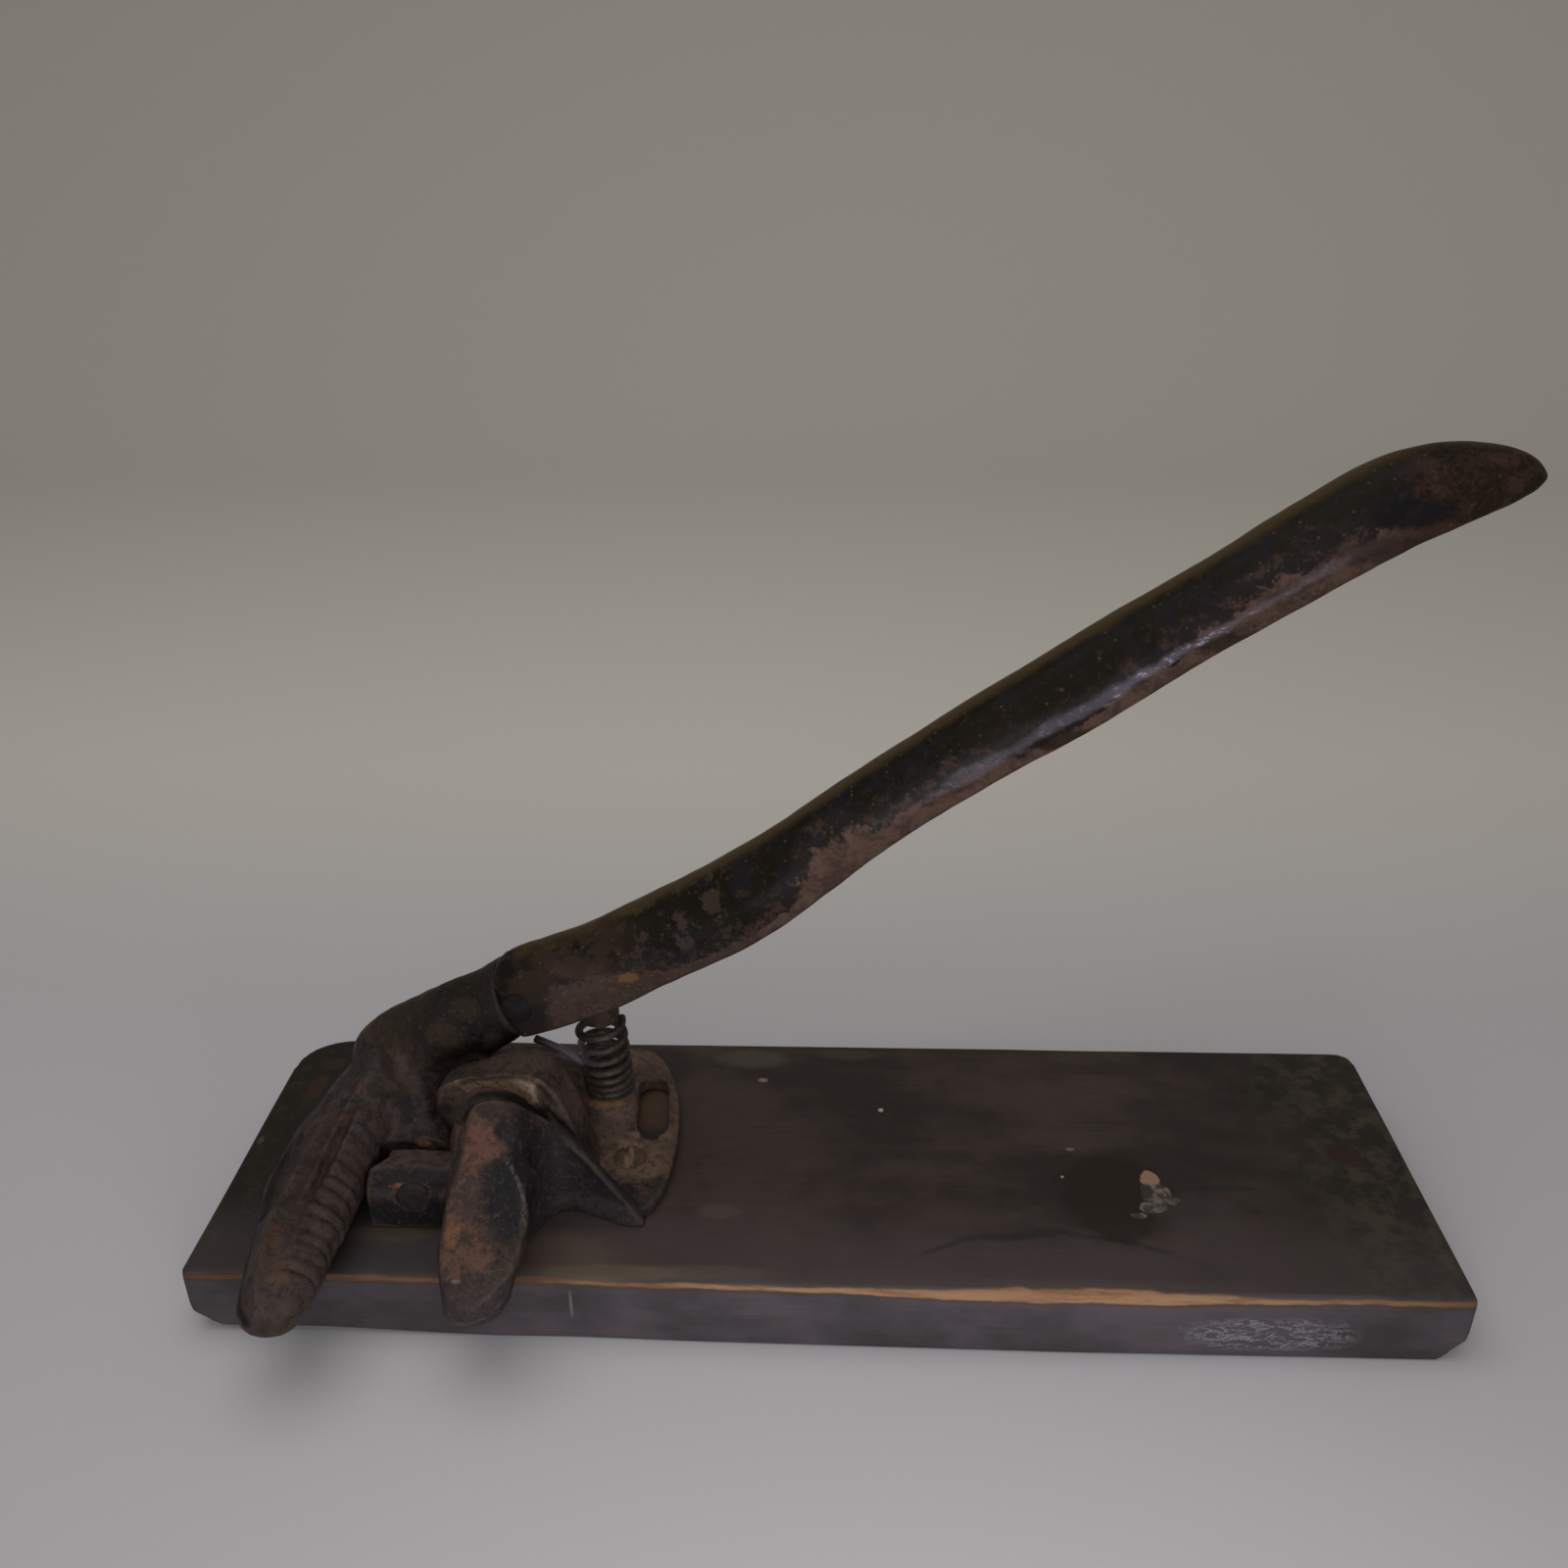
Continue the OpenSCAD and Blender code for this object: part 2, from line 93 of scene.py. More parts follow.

# %% [markdown]
# ## The camera
#
# The eye stands in front of the board, a little above the handle, and looks down at about
# 26 degrees. Writing the three directions of the view keeps the small turn and
# roll exact, which a tracking constraint would lose.

# %% Stand the camera in front
PITCH, YAW, ROLL = math.radians(26.5), math.radians(-2.3), math.radians(0.6)
ahead = Vector((math.sin(YAW) * math.cos(PITCH), math.cos(YAW) * math.cos(PITCH), -math.sin(PITCH)))
level = Vector((math.cos(YAW), -math.sin(YAW), 0))
down = ahead.cross(level)
right = level * math.cos(ROLL) + down * math.sin(ROLL)
down = down * math.cos(ROLL) - level * math.sin(ROLL)

camera = bpy.data.objects.new("camera", bpy.data.cameras.new("camera"))
camera.data.sensor_width = 36
camera.data.lens = 32
camera.matrix_world = Matrix((
    (right.x, -down.x, -ahead.x, 0), (right.y, -down.y, -ahead.y, 0),
    (right.z, -down.z, -ahead.z, 0), (0, 0, 0, 1)))
camera.location = at(2.5, -276.6, 289.5)
bpy.context.scene.collection.objects.link(camera)
bpy.context.scene.camera = camera
bpy.context.scene.view_settings.view_transform = "Standard"
print("camera at", [round(v, 3) for v in camera.location])

# %% [markdown]
# ## Light and floor
#
# Black paint shows its shape only through soft reflections. One broad lamp stands close
# to the eye, a large weak one hangs above, and a grey room fills the rest. Together they
# are as strong as plain daylight on a white card, so a colour comes out as it is written.

# %% Light the bench
def lamp(name, place, target, size, power, colour):
    data = bpy.data.lights.new(name, "AREA")
    data.shape = "DISK"
    data.size = size
    data.energy = power
    data.color = colour
    item = bpy.data.objects.new(name, data)
    item.location = place
    item.rotation_mode = "QUATERNION"
    item.rotation_quaternion = (target - place).to_track_quat("-Z", "Y")
    bpy.context.scene.collection.objects.link(item)
    return item


lamp("low_lamp", at(40, -280, 5), at(20, 60, 70), 0.2, 0.8, (0.97, 0.98, 1.0))
lamp("front_lamp", at(-60, -420, 420), at(-20, 50, 20), 0.4, 0.45, (1.0, 0.97, 0.94))
lamp("high_lamp", at(-150, 0, 900), at(0, 50, 0), 0.9, 2.8, (1.0, 0.98, 0.95))

room = bpy.data.worlds.new("room")
room.use_nodes = True
room.node_tree.nodes["Background"].inputs["Color"].default_value = (0.95, 0.93, 0.9, 1)
room.node_tree.nodes["Background"].inputs["Strength"].default_value = 0.32
bpy.context.scene.world = room

# %% [markdown]
# The floor is one large sheet that curves up far behind the tool, so that no corner shows.
# Its paper is pale in front and a little greyer towards the back.

# %% Roll out the floor
def floor_sheet(name, near, far, rise, half_width):
    profile = [(near, 0.0), (far, 0.0)]
    for k in range(1, 17):
        turn = math.radians(90 * k / 16)
        profile.append((far + rise * math.sin(turn), rise - rise * math.cos(turn)))
    profile.append((far + rise, rise * 6))
    points, faces = [], []
    for y, z in profile:
        points += [(-half_width, y, z), (half_width, y, z)]
    for k in range(len(profile) - 1):
        faces.append((2 * k, 2 * k + 1, 2 * k + 3, 2 * k + 2))
    mesh = bpy.data.meshes.new(name)
    mesh.from_pydata(points, [], faces)
    mesh.shade_smooth()
    item = bpy.data.objects.new(name, mesh)
    bpy.context.scene.collection.objects.link(item)
    return item


floor = floor_sheet("floor", -3.0, 0.9, 0.6, 3.5)
print("floor points:", len(floor.data.vertices))

# %% [markdown]
# ## Tools for the shapes
#
# Cast iron has no sharp corner: sand moulds round everything. So each casting is first
# drawn as a few closed forms that run into each other, and then melted into one skin with
# a voxel remesh. After that the skin is relaxed, which rounds edges and fills inner
# corners, exactly as a fillet in the mould would.

# %% Curves through measured rows
def row(table, s):
    table = np.asarray(table, float)
    last = len(table) - 1
    i = min(int(math.floor(s)), last - 1)
    t = s - i
    a, b = table[max(i - 1, 0)], table[i]
    c, d = table[i + 1], table[min(i + 2, last)]
    bend = (2 * a - 5 * b + 4 * c - d) * t * t + (3 * b - a - 3 * c + d) * t ** 3
    return 0.5 * (2 * b + (c - a) * t + bend)


def cut_corners(points, times):
    points = np.asarray(points, float)
    for _ in range(times):
        following = np.roll(points, -1, axis=0)
        first = 0.75 * points + 0.25 * following
        second = 0.25 * points + 0.75 * following
        points = np.stack([first, second], axis=1).reshape(-1, points.shape[1])
    return points


print("halfway along a test row:", row([[0], [1], [4]], 0.5))

# %% Closed forms in millimetres
def skinned(rings):
    rings = np.asarray(rings, float)
    m, n = rings.shape[:2]
    points = rings.reshape(-1, 3)
    faces = [tuple(range(n - 1, -1, -1)), tuple(range((m - 1) * n, m * n))]
    for i in range(m - 1):
        for j in range(n):
            k = (j + 1) % n
            faces.append((i * n + j, i * n + k, (i + 1) * n + k, (i + 1) * n + j))
    return points, faces


def slab(outline, low, high, axis):
    """A flat outline pushed along one axis; the outline holds the other two."""
    rings = []
    for level_at in (low, high):
        rings.append(np.insert(np.asarray(outline, float), axis, level_at, axis=1))
    return skinned(rings)


def bar(start, end, r0, r1, sides=40):
    start, end = np.array(start, float), np.array(end, float)
    along = (end - start) / np.linalg.norm(end - start)
    aside = np.cross(along, [0.3, 0.2, 0.9])
    aside /= np.linalg.norm(aside)
    over = np.cross(along, aside)
    turn = np.linspace(0, 2 * math.pi, sides, endpoint=False)
    circle = np.outer(np.cos(turn), aside) + np.outer(np.sin(turn), over)
    return skinned([start + r0 * circle, end + r1 * circle])


def cad_form(node):
    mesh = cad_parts[node].data
    co = np.zeros(len(mesh.vertices) * 3)
    mesh.vertices.foreach_get("co", co)
    return to_mm(co.reshape(-1, 3)), [tuple(p.vertices) for p in mesh.polygons]


print("forms ready")

# %% Melt forms into one skin
def new_piece(name, points_mm, faces):
    mesh = bpy.data.meshes.new(name)
    mesh.from_pydata([tuple(p) for p in to_metres(points_mm)], [], faces)
    mesh.validate()
    item = bpy.data.objects.new(name, mesh)
    bpy.context.scene.collection.objects.link(item)
    return item


def outward(points, faces):
    """Turns a closed form's faces so that they all look out."""
    total = 0.0
    for f in faces:
        for k in range(1, len(f) - 1):
            total += np.dot(points[f[0]], np.cross(points[f[k]], points[f[k + 1]]))
    return faces if total > 0 else [tuple(reversed(f)) for f in faces]


def join_forms(forms):
    points, faces = [], []
    for p, f in forms:
        start = sum(len(q) for q in points)
        faces += [tuple(i + start for i in g) for g in outward(p, f)]
        points.append(np.asarray(p, float))
    return np.concatenate(points), faces


def smooth_piece(name, forms):
    item = new_piece(name, *join_forms(forms))
    item.data.shade_smooth()
    return item


def bake(item):
    """Applies the modifiers of a piece to its mesh."""
    graph = bpy.context.evaluated_depsgraph_get()
    made = bpy.data.meshes.new_from_object(item.evaluated_get(graph))
    old = item.data
    item.modifiers.clear()
    item.data = made
    bpy.data.meshes.remove(old)
    made.name = item.name
    made.shade_smooth()
    return item


def melted(name, forms, grain):
    item = new_piece(name, *join_forms(forms))
    weld = item.modifiers.new("weld", "WELD")
    weld.merge_threshold = 0.01 * MM
    melt = item.modifiers.new("melt", "REMESH")
    melt.mode = "VOXEL"
    melt.voxel_size = grain * MM
    bake(item)
    print(name, "skin:", len(item.data.vertices), "points")
    return item

# %% Relax, lump and read a skin
def points_of(item):
    co = np.zeros(len(item.data.vertices) * 3)
    item.data.vertices.foreach_get("co", co)
    return co.reshape(-1, 3)


def set_points(item, co):
    item.data.vertices.foreach_set("co", co.astype(np.float32).ravel())
    item.data.update()


def neighbours(item):
    ends = np.zeros(len(item.data.edges) * 2, np.int64)
    item.data.edges.foreach_get("vertices", ends)
    ends = ends.reshape(-1, 2)
    here = np.concatenate([ends[:, 0], ends[:, 1]])
    there = np.concatenate([ends[:, 1], ends[:, 0]])
    return here, there, np.maximum(np.bincount(here, minlength=len(item.data.vertices)), 1)


def averaged(values, web):
    here, there, count = web
    if values.ndim == 1:
        return np.bincount(here, values[there], len(count)) / count
    return np.stack([np.bincount(here, values[there, k], len(count)) for k in range(3)], 1) / count[:, None]


def relax(item, rounds, share=1.0, back=0.0):
    """Moves each point towards its neighbours; back pushes out again, so thin walls keep their size."""
    web = neighbours(item)
    co = points_of(item)
    share = np.broadcast_to(np.asarray(share, float), (len(co),))[:, None]
    for _ in range(rounds):
        co = co + 0.5 * share * (averaged(co, web) - co)
        if back:
            co = co - back * share * (averaged(co, web) - co)
    set_points(item, co)


def normals_of(item):
    out = np.zeros(len(item.data.vertices) * 3)
    item.data.vertex_normals.foreach_get("vector", out)
    return out.reshape(-1, 3)


def lump(item, size_mm, height_mm, seed, share=1.0):
    """Pushes the skin in and out by smooth noise, as a sand mould leaves it."""
    co = points_of(item)
    shift = Vector((seed * 3.1, seed * 1.7, seed * 0.9))
    depth = np.array([noise.noise(Vector(p) / (size_mm * MM) + shift) for p in co])
    set_points(item, co + normals_of(item) * (depth * share * height_mm * MM)[:, None])


def note_crests(item, reach=6):
    """Stores where the skin is proud (towards 1) and where it is hollow (towards 0)."""
    web = neighbours(item)
    co = points_of(item)
    spread = co
    for _ in range(reach):
        spread = averaged(spread, web)
    proud = ((co - spread) * normals_of(item)).sum(1)
    proud = averaged(averaged(proud, web), web)
    scale = np.percentile(np.abs(proud), 95) + 1e-9
    layer = item.data.attributes.new("crest", "FLOAT", "POINT")
    layer.data.foreach_set("value", np.clip(0.5 + 0.5 * proud / scale, 0, 1).astype(np.float32))


def note(item, name, values):
    layer = item.data.attributes.new(name, "FLOAT", "POINT")
    layer.data.foreach_set("value", np.clip(values, 0, 1).astype(np.float32))


def near(co, centre, radii, soft=0.35):
    """1 inside an oval region and 0 well outside it, in the board's millimetres."""
    d = np.linalg.norm((co - np.array(centre, float)) / np.array(radii, float), axis=1)
    return np.clip((1 + soft - d) / (2 * soft), 0, 1)


def near_line(co, line, reach, soft=0.5):
    """1 along a path of points and 0 further off than its reach, in millimetres."""
    line = np.asarray(line, float)
    far = np.full(len(co), 1e9)
    for a, b in zip(line[:-1], line[1:]):
        t = np.clip(((co - a) @ (b - a)) / ((b - a) @ (b - a)), 0, 1)[:, None]
        far = np.minimum(far, np.linalg.norm(co - a - t * (b - a), axis=1))
    return np.clip((reach + soft - far) / (2 * soft), 0, 1)


print("skin tools ready")

# %% [markdown]
# ## Tools for the finishes
#
# Every surface gets a finish made of nodes. The helpers below add the few kinds that old
# iron and old wood need: noise at a size given in millimetres, a mask that is sharp or
# soft, an oval patch at a place on the tool, and a relief. Sizes in millimetres make it
# easy to compare a finish with the real thing.

# %% Node helpers
def hue(r, g, b):
    """A colour as a painter reads it off a chart, 0 to 255, turned into light."""
    shares = [c / 255 for c in (r, g, b)]
    light = [c / 12.92 if c <= 10 / 255 else ((c + 0.055) / 1.055) ** 2.4 for c in shares]
    return tuple(light) + (1.0,)


class Finish:
    def __init__(self, name, roughness, specular=0.5, metal=0.0):
        self.material = bpy.data.materials.new(name)
        self.material.use_nodes = True
        self.tree = self.material.node_tree
        self.shader = self.tree.nodes["Principled BSDF"]
        self.shader.inputs["Specular IOR Level"].default_value = specular
        self.shader.inputs["Metallic"].default_value = metal
        self.shader.inputs["Roughness"].default_value = roughness
        self.place = self.add("ShaderNodeTexCoord").outputs["Object"]

    def add(self, kind, **settings):
        node = self.tree.nodes.new(kind)
        for key, value in settings.items():
            setattr(node, key, value)
        return node

    def wire(self, value, socket):
        if isinstance(value, bpy.types.NodeSocket):
            self.tree.links.new(value, socket)
        else:
            socket.default_value = value

    def calc(self, operation, a, b=0.0, c=0.0):
        node = self.add("ShaderNodeMath", operation=operation)
        for value, socket in zip((a, b, c), node.inputs):
            self.wire(value, socket)
        return node.outputs[0]

    def times(self, a, b):
        return self.calc("MULTIPLY", a, b)

    def flip(self, value):
        return self.calc("SUBTRACT", 1.0, value)

    def away(self, value, centre):
        """How far a value is from a centre, without its sign."""
        return self.calc("ABSOLUTE", self.calc("ADD", value, -centre))

    def noise(self, size, detail=5.0, rough=0.6, stretch=(1, 1, 1), seed=0.0, bend=0.0):
        """Grey noise whose blobs are about size millimetres wide."""
        fit = self.add("ShaderNodeMapping")
        self.wire(self.place, fit.inputs["Vector"])
        fit.inputs["Location"].default_value = (seed, seed * 0.37, seed * 0.71)
        fit.inputs["Scale"].default_value = tuple(1 / (size * MM * s) for s in stretch)
        node = self.add("ShaderNodeTexNoise")
        self.wire(fit.outputs[0], node.inputs["Vector"])
        node.inputs["Scale"].default_value = 1.0
        node.inputs["Detail"].default_value = detail
        node.inputs["Roughness"].default_value = rough
        node.inputs["Distortion"].default_value = bend
        return node.outputs[0]

    def between(self, value, low, high):
        """0 below low, 1 above high, and a smooth step between them."""
        node = self.add("ShaderNodeMapRange", interpolation_type="SMOOTHSTEP")
        self.wire(value, node.inputs["Value"])
        node.inputs["From Min"].default_value = low
        node.inputs["From Max"].default_value = high
        return node.outputs["Result"]

    def fading(self, value, low, high):
        """1 below low, 0 above high, and a smooth step between them."""
        return self.flip(self.between(value, low, high))

    def mix(self, share, a, b):
        node = self.add("ShaderNodeMix", data_type="RGBA", clamp_factor=True)
        self.wire(share, node.inputs[0])
        self.wire(a, node.inputs[6])
        self.wire(b, node.inputs[7])
        return node.outputs[2]

    def lay(self, colour, mask, strength, tone):
        """Lays a tone over a colour where the mask says so."""
        return self.mix(self.times(mask, strength), colour, hue(*tone))

    def attribute(self, name):
        return self.add("ShaderNodeAttribute", attribute_name=name).outputs["Fac"]

    def axis(self, which):
        """The place along one axis of the board's frame, in millimetres."""
        split = self.add("ShaderNodeSeparateXYZ")
        self.wire(self.place, split.inputs[0])
        zero = (0.0, board_low.y, board_high.z)["XYZ".index(which)]
        return self.calc("DIVIDE", self.calc("SUBTRACT", split.outputs[which], zero), MM)

    def patch(self, centre, radii, ragged=0.3, grain=4.0, soft=0.15, seed=0.0):
        """1 inside a ragged oval at a place on the tool, in the board's millimetres."""
        spot = at(*centre)
        move = self.add("ShaderNodeVectorMath", operation="SUBTRACT")
        self.wire(self.place, move.inputs[0])
        move.inputs[1].default_value = spot
        fit = self.add("ShaderNodeVectorMath", operation="DIVIDE")
        self.wire(move.outputs[0], fit.inputs[0])
        fit.inputs[1].default_value = tuple(r * MM for r in radii)
        far = self.add("ShaderNodeVectorMath", operation="LENGTH")
        self.wire(fit.outputs[0], far.inputs[0])
        edge = self.calc("MULTIPLY_ADD", self.noise(grain, 5, 0.65, seed=seed), 2 * ragged, -ragged)
        reach = self.calc("ADD", far.outputs["Value"], edge)
        return self.fading(reach, 1 - soft, 1 + soft)

    def touch(self, colour, spots, ragged=0.45):
        """Lays oval patches over a colour: (centre, radii, tone, strength) each."""
        for k, (centre, radii, tone, strength) in enumerate(spots):
            grain = max(min(radii) * 0.7, 0.8)
            mark = self.patch(centre, radii, ragged, grain, 0.3, seed=k * 1.7)
            colour = self.lay(colour, mark, strength, tone)
        return colour

    def specks(self, size, share, seed=0.0):
        """Small round specks on a share of the surface."""
        fit = self.add("ShaderNodeMapping")
        self.wire(self.place, fit.inputs["Vector"])
        fit.inputs["Location"].default_value = (seed, seed * 1.3, seed * 0.4)
        fit.inputs["Scale"].default_value = (1 / (size * MM),) * 3
        cell = self.add("ShaderNodeTexVoronoi")
        self.wire(fit.outputs[0], cell.inputs["Vector"])
        cell.inputs["Scale"].default_value = 1.0
        round_part = self.fading(cell.outputs["Distance"], 0.12, 0.32)
        split = self.add("ShaderNodeSeparateColor")
        self.wire(cell.outputs["Color"], split.inputs[0])
        chosen = self.calc("LESS_THAN", split.outputs[0], share)
        return self.times(round_part, chosen)

    def relief(self, *layers):
        """Stacks (height, depth in millimetres) pairs into one bumpy normal."""
        normal = None
        for height, depth in layers:
            bump = self.add("ShaderNodeBump")
            bump.inputs["Distance"].default_value = depth * MM
            self.wire(height, bump.inputs["Height"])
            if normal is not None:
                self.wire(normal, bump.inputs["Normal"])
            normal = bump.outputs[0]
        self.wire(normal, self.shader.inputs["Normal"])

    def done(self, colour, roughness=None):
        self.wire(colour, self.shader.inputs["Base Color"])
        if roughness is not None:
            self.wire(roughness, self.shader.inputs["Roughness"])
        print("finish", self.material.name, "with", len(self.tree.nodes), "nodes")
        return self.material


def dress(item, material, body, slot, *nodes):
    item.data.materials.clear()
    item.data.materials.append(material)
    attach(item, body)
    if nodes:
        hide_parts(*nodes)


print("finish tools ready")

# %% [markdown]
# ## Floor paper
#
# The paper needs almost nothing: two pale greys that melt into each other from front to
# back, and a faint fibre so that it isn't a dead flat colour.

# %% Colour the floor
paper = Finish("floor_paper", roughness=0.9, specular=0.1)
towards_back = paper.between(paper.axis("Y"), 120, 420)
paper_tone = paper.mix(towards_back, hue(188, 187, 191), hue(216, 211, 203))
paper_fibre = paper.noise(3, 6, 0.7)
paper_tone = paper.lay(paper_tone, paper_fibre, 0.06, (120, 118, 116))
floor.data.materials.append(paper.done(paper_tone))

# %% [markdown]
# ## The board
#
# The board is one plank of dark stained wood. Its ends are bevelled underneath and its
# top front edge has been rubbed down to bare wood by years of hands. A plain box with a
# bevel would look new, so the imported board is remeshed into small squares. Then its edges
# are relaxed, and the front edge is rubbed away unevenly.

# %% Shape the board
BOARD_GRAIN, RUB_DEPTH = 1.25, 0.9
board = melted("board_plank", [cad_form("board")], BOARD_GRAIN)
relax(board, 2)
co = to_mm(points_of(board))
front_edge = np.clip(1 - (np.abs(co[:, 1]) + np.abs(co[:, 2])) / 5.0, 0, 1)
long_waves = np.array([noise.noise(Vector((x / 23, 3.0, 0))) for x in co[:, 0]])
short_waves = np.array([noise.noise(Vector((x / 5, 9.0, 0))) for x in co[:, 0]])
rub = 0.35 + 0.5 * long_waves + 0.25 * short_waves
rub += 0.8 * np.exp(-((co[:, 0] - 66) / 38) ** 2)
co[:, 1] += front_edge * rub * RUB_DEPTH
co[:, 2] -= front_edge * rub * RUB_DEPTH
co[:, 0] -= 1.5 * np.clip((-160 - co[:, 0]) / 12, 0, 1)
front_part = np.clip((34 - co[:, 1]) / 34, 0, 1)
co[:, 1] -= 1.5 * front_part * np.clip((co[:, 0] + 70) / 110, 0, 1)
underside = np.clip((-15 - co[:, 2]) / 6, 0, 1) * np.clip((8 - co[:, 1]) / 8, 0, 1)
co[:, 2] += 2.2 * underside * np.clip((-90 - co[:, 0]) / 50, 0, 1)
set_points(board, to_metres(co))
lump(board, 45, 0.25, 3)
print("front edge rubbed by up to", round(float(rub.max() * RUB_DEPTH), 1), "mm")

# %% [markdown]
# The stain has gone patchy: redder and lighter in the middle, nearly black at the ends,
# and dusty towards the right. The fibres run along the board. On top of that lie the
# marks of use, each one an oval patch or a line at its own place.

# %% Stain and wear the board, with painted light on its front face
stain = Finish("stained_wood", roughness=0.6, specular=0.15)
x_mm, y_mm, z_mm = stain.axis("X"), stain.axis("Y"), stain.axis("Z")
fibre = stain.noise(0.8, 6, 0.7, stretch=(45, 1, 1), seed=1)
broad_grain = stain.noise(5, 4, 0.6, stretch=(30, 1, 1), seed=2)
cloud = stain.noise(30, 5, 0.6, stretch=(1.6, 1, 1), seed=4)
mottle = stain.noise(7, 6, 0.7, seed=5)

wood = stain.mix(stain.between(cloud, 0.38, 0.62), hue(48, 41, 38), hue(69, 57, 54))
wood = stain.lay(wood, stain.between(mottle, 0.45, 0.75), 0.5, (52, 50, 50))
wood = stain.lay(wood, stain.between(broad_grain, 0.5, 0.8), 0.35, (74, 58, 52))
wood = stain.lay(wood, stain.between(fibre, 0.52, 0.75), 0.5, (30, 25, 22))
ends_dark = stain.between(stain.away(x_mm, 15.0), 80, 145)
wood = stain.lay(wood, ends_dark, 0.75, (34, 31, 27))
left_dark = stain.fading(x_mm, -165, -140)
wood = stain.lay(wood, left_dark, 0.65, (28, 25, 19))
left_spots = stain.times(left_dark, stain.between(stain.noise(5, 6, 0.72, seed=15), 0.52, 0.6))
wood = stain.lay(wood, left_spots, 0.55, (50, 44, 34))
front_dust = stain.fading(y_mm, 10, 34)
wood = stain.lay(wood, front_dust, 0.45, (74, 67, 67))
dust_right = stain.times(stain.between(x_mm, 120, 165), stain.between(mottle, 0.42, 0.62))
wood = stain.lay(wood, dust_right, 0.55, (76, 70, 56))

# Painted light: the front face gets its own lighter, bluer tone, as lit from in front.
front_face = stain.fading(y_mm, 0.3, 1.1)
painted_light_face_tone = stain.mix(stain.between(cloud, 0.35, 0.65), hue(54, 51, 53), hue(76, 69, 73))
painted_light_face_tone = stain.lay(painted_light_face_tone, stain.between(fibre, 0.5, 0.75), 0.4, (42, 36, 36))
wood = stain.mix(front_face, wood, painted_light_face_tone)
print("wood tones laid")

# %% Marks of use on the board, with painted shade in the pad's slot
dark_spill = stain.patch((86, 36, 0), (16, 18, 4), 0.5, 10, 0.2, seed=2)
wood = stain.lay(wood, dark_spill, 0.75, (40, 31, 28))
chip = stain.patch((96.4, 43.4, 0), (2.8, 4.0, 4), 0.55, 3, 0.06, seed=7)
for centre, radii, seed in [((97.2, 37.5, 0), (4.4, 5, 4), 8), ((95.2, 31.8, 0), (4.2, 2.4, 4), 9),
                            ((90.6, 28.6, 0), (2.6, 1.2, 4), 10), ((101.4, 34.8, 0), (2.4, 1.6, 4), 12)]:
    chip = stain.calc("MAXIMUM", chip, stain.patch(centre, radii, 0.4, 3, 0.06, seed=seed))
splinters = stain.between(stain.noise(2.6, 6, 0.72, seed=8), 0.44, 0.58)
chip_tone = stain.mix(splinters, hue(64, 57, 52), hue(118, 108, 98))
chip_tone = stain.mix(stain.patch((96.3, 44.8, 0), (4, 3.4, 4), 0.4, 2.4, 0.2), chip_tone, hue(146, 116, 92))
chip_hollow = stain.patch((94, 38.4, 0), (2.4, 2.8, 4), 0.5, 2, 0.2, seed=5)
chip_tone = stain.mix(chip_hollow, chip_tone, hue(60, 53, 50))
wood = stain.mix(chip, wood, chip_tone)
scratch = stain.patch((117, 40.4, 0), (10, 1.2, 3), 0.5, 3, 0.2, seed=14)
wood = stain.lay(wood, scratch, 0.6, (38, 38, 44))
# Painted shade: the board seen through the pad's slot is darker and bluer towards its front end and lit brown
# towards its back.
slot_floor = stain.patch((-53.3, 67, 0), (6, 15, 3), 0.2, 4, 0.2, seed=4)
slot_light_and_shade_tone = stain.mix(stain.between(y_mm, 60, 66), hue(56, 49, 50), hue(84, 66, 54))
wood = stain.mix(slot_floor, wood, slot_light_and_shade_tone)
from_peak = stain.away(x_mm, 64.0)
wave = stain.calc("MULTIPLY_ADD", stain.calc("POWER", from_peak, 2.0), -0.0066, 21.0)
wobble = stain.times(stain.calc("ADD", stain.noise(14, 3, 0.5, seed=6), -0.5), 7.0)
off_wave = stain.calc("ABSOLUTE", stain.calc("SUBTRACT", stain.calc("ADD", y_mm, wobble), wave))
on_wave = stain.times(stain.fading(off_wave, 0.5, 1.8), stain.fading(stain.away(x_mm, 62.0), 30, 40))
wood = stain.lay(wood, on_wave, 0.42, (30, 29, 30))
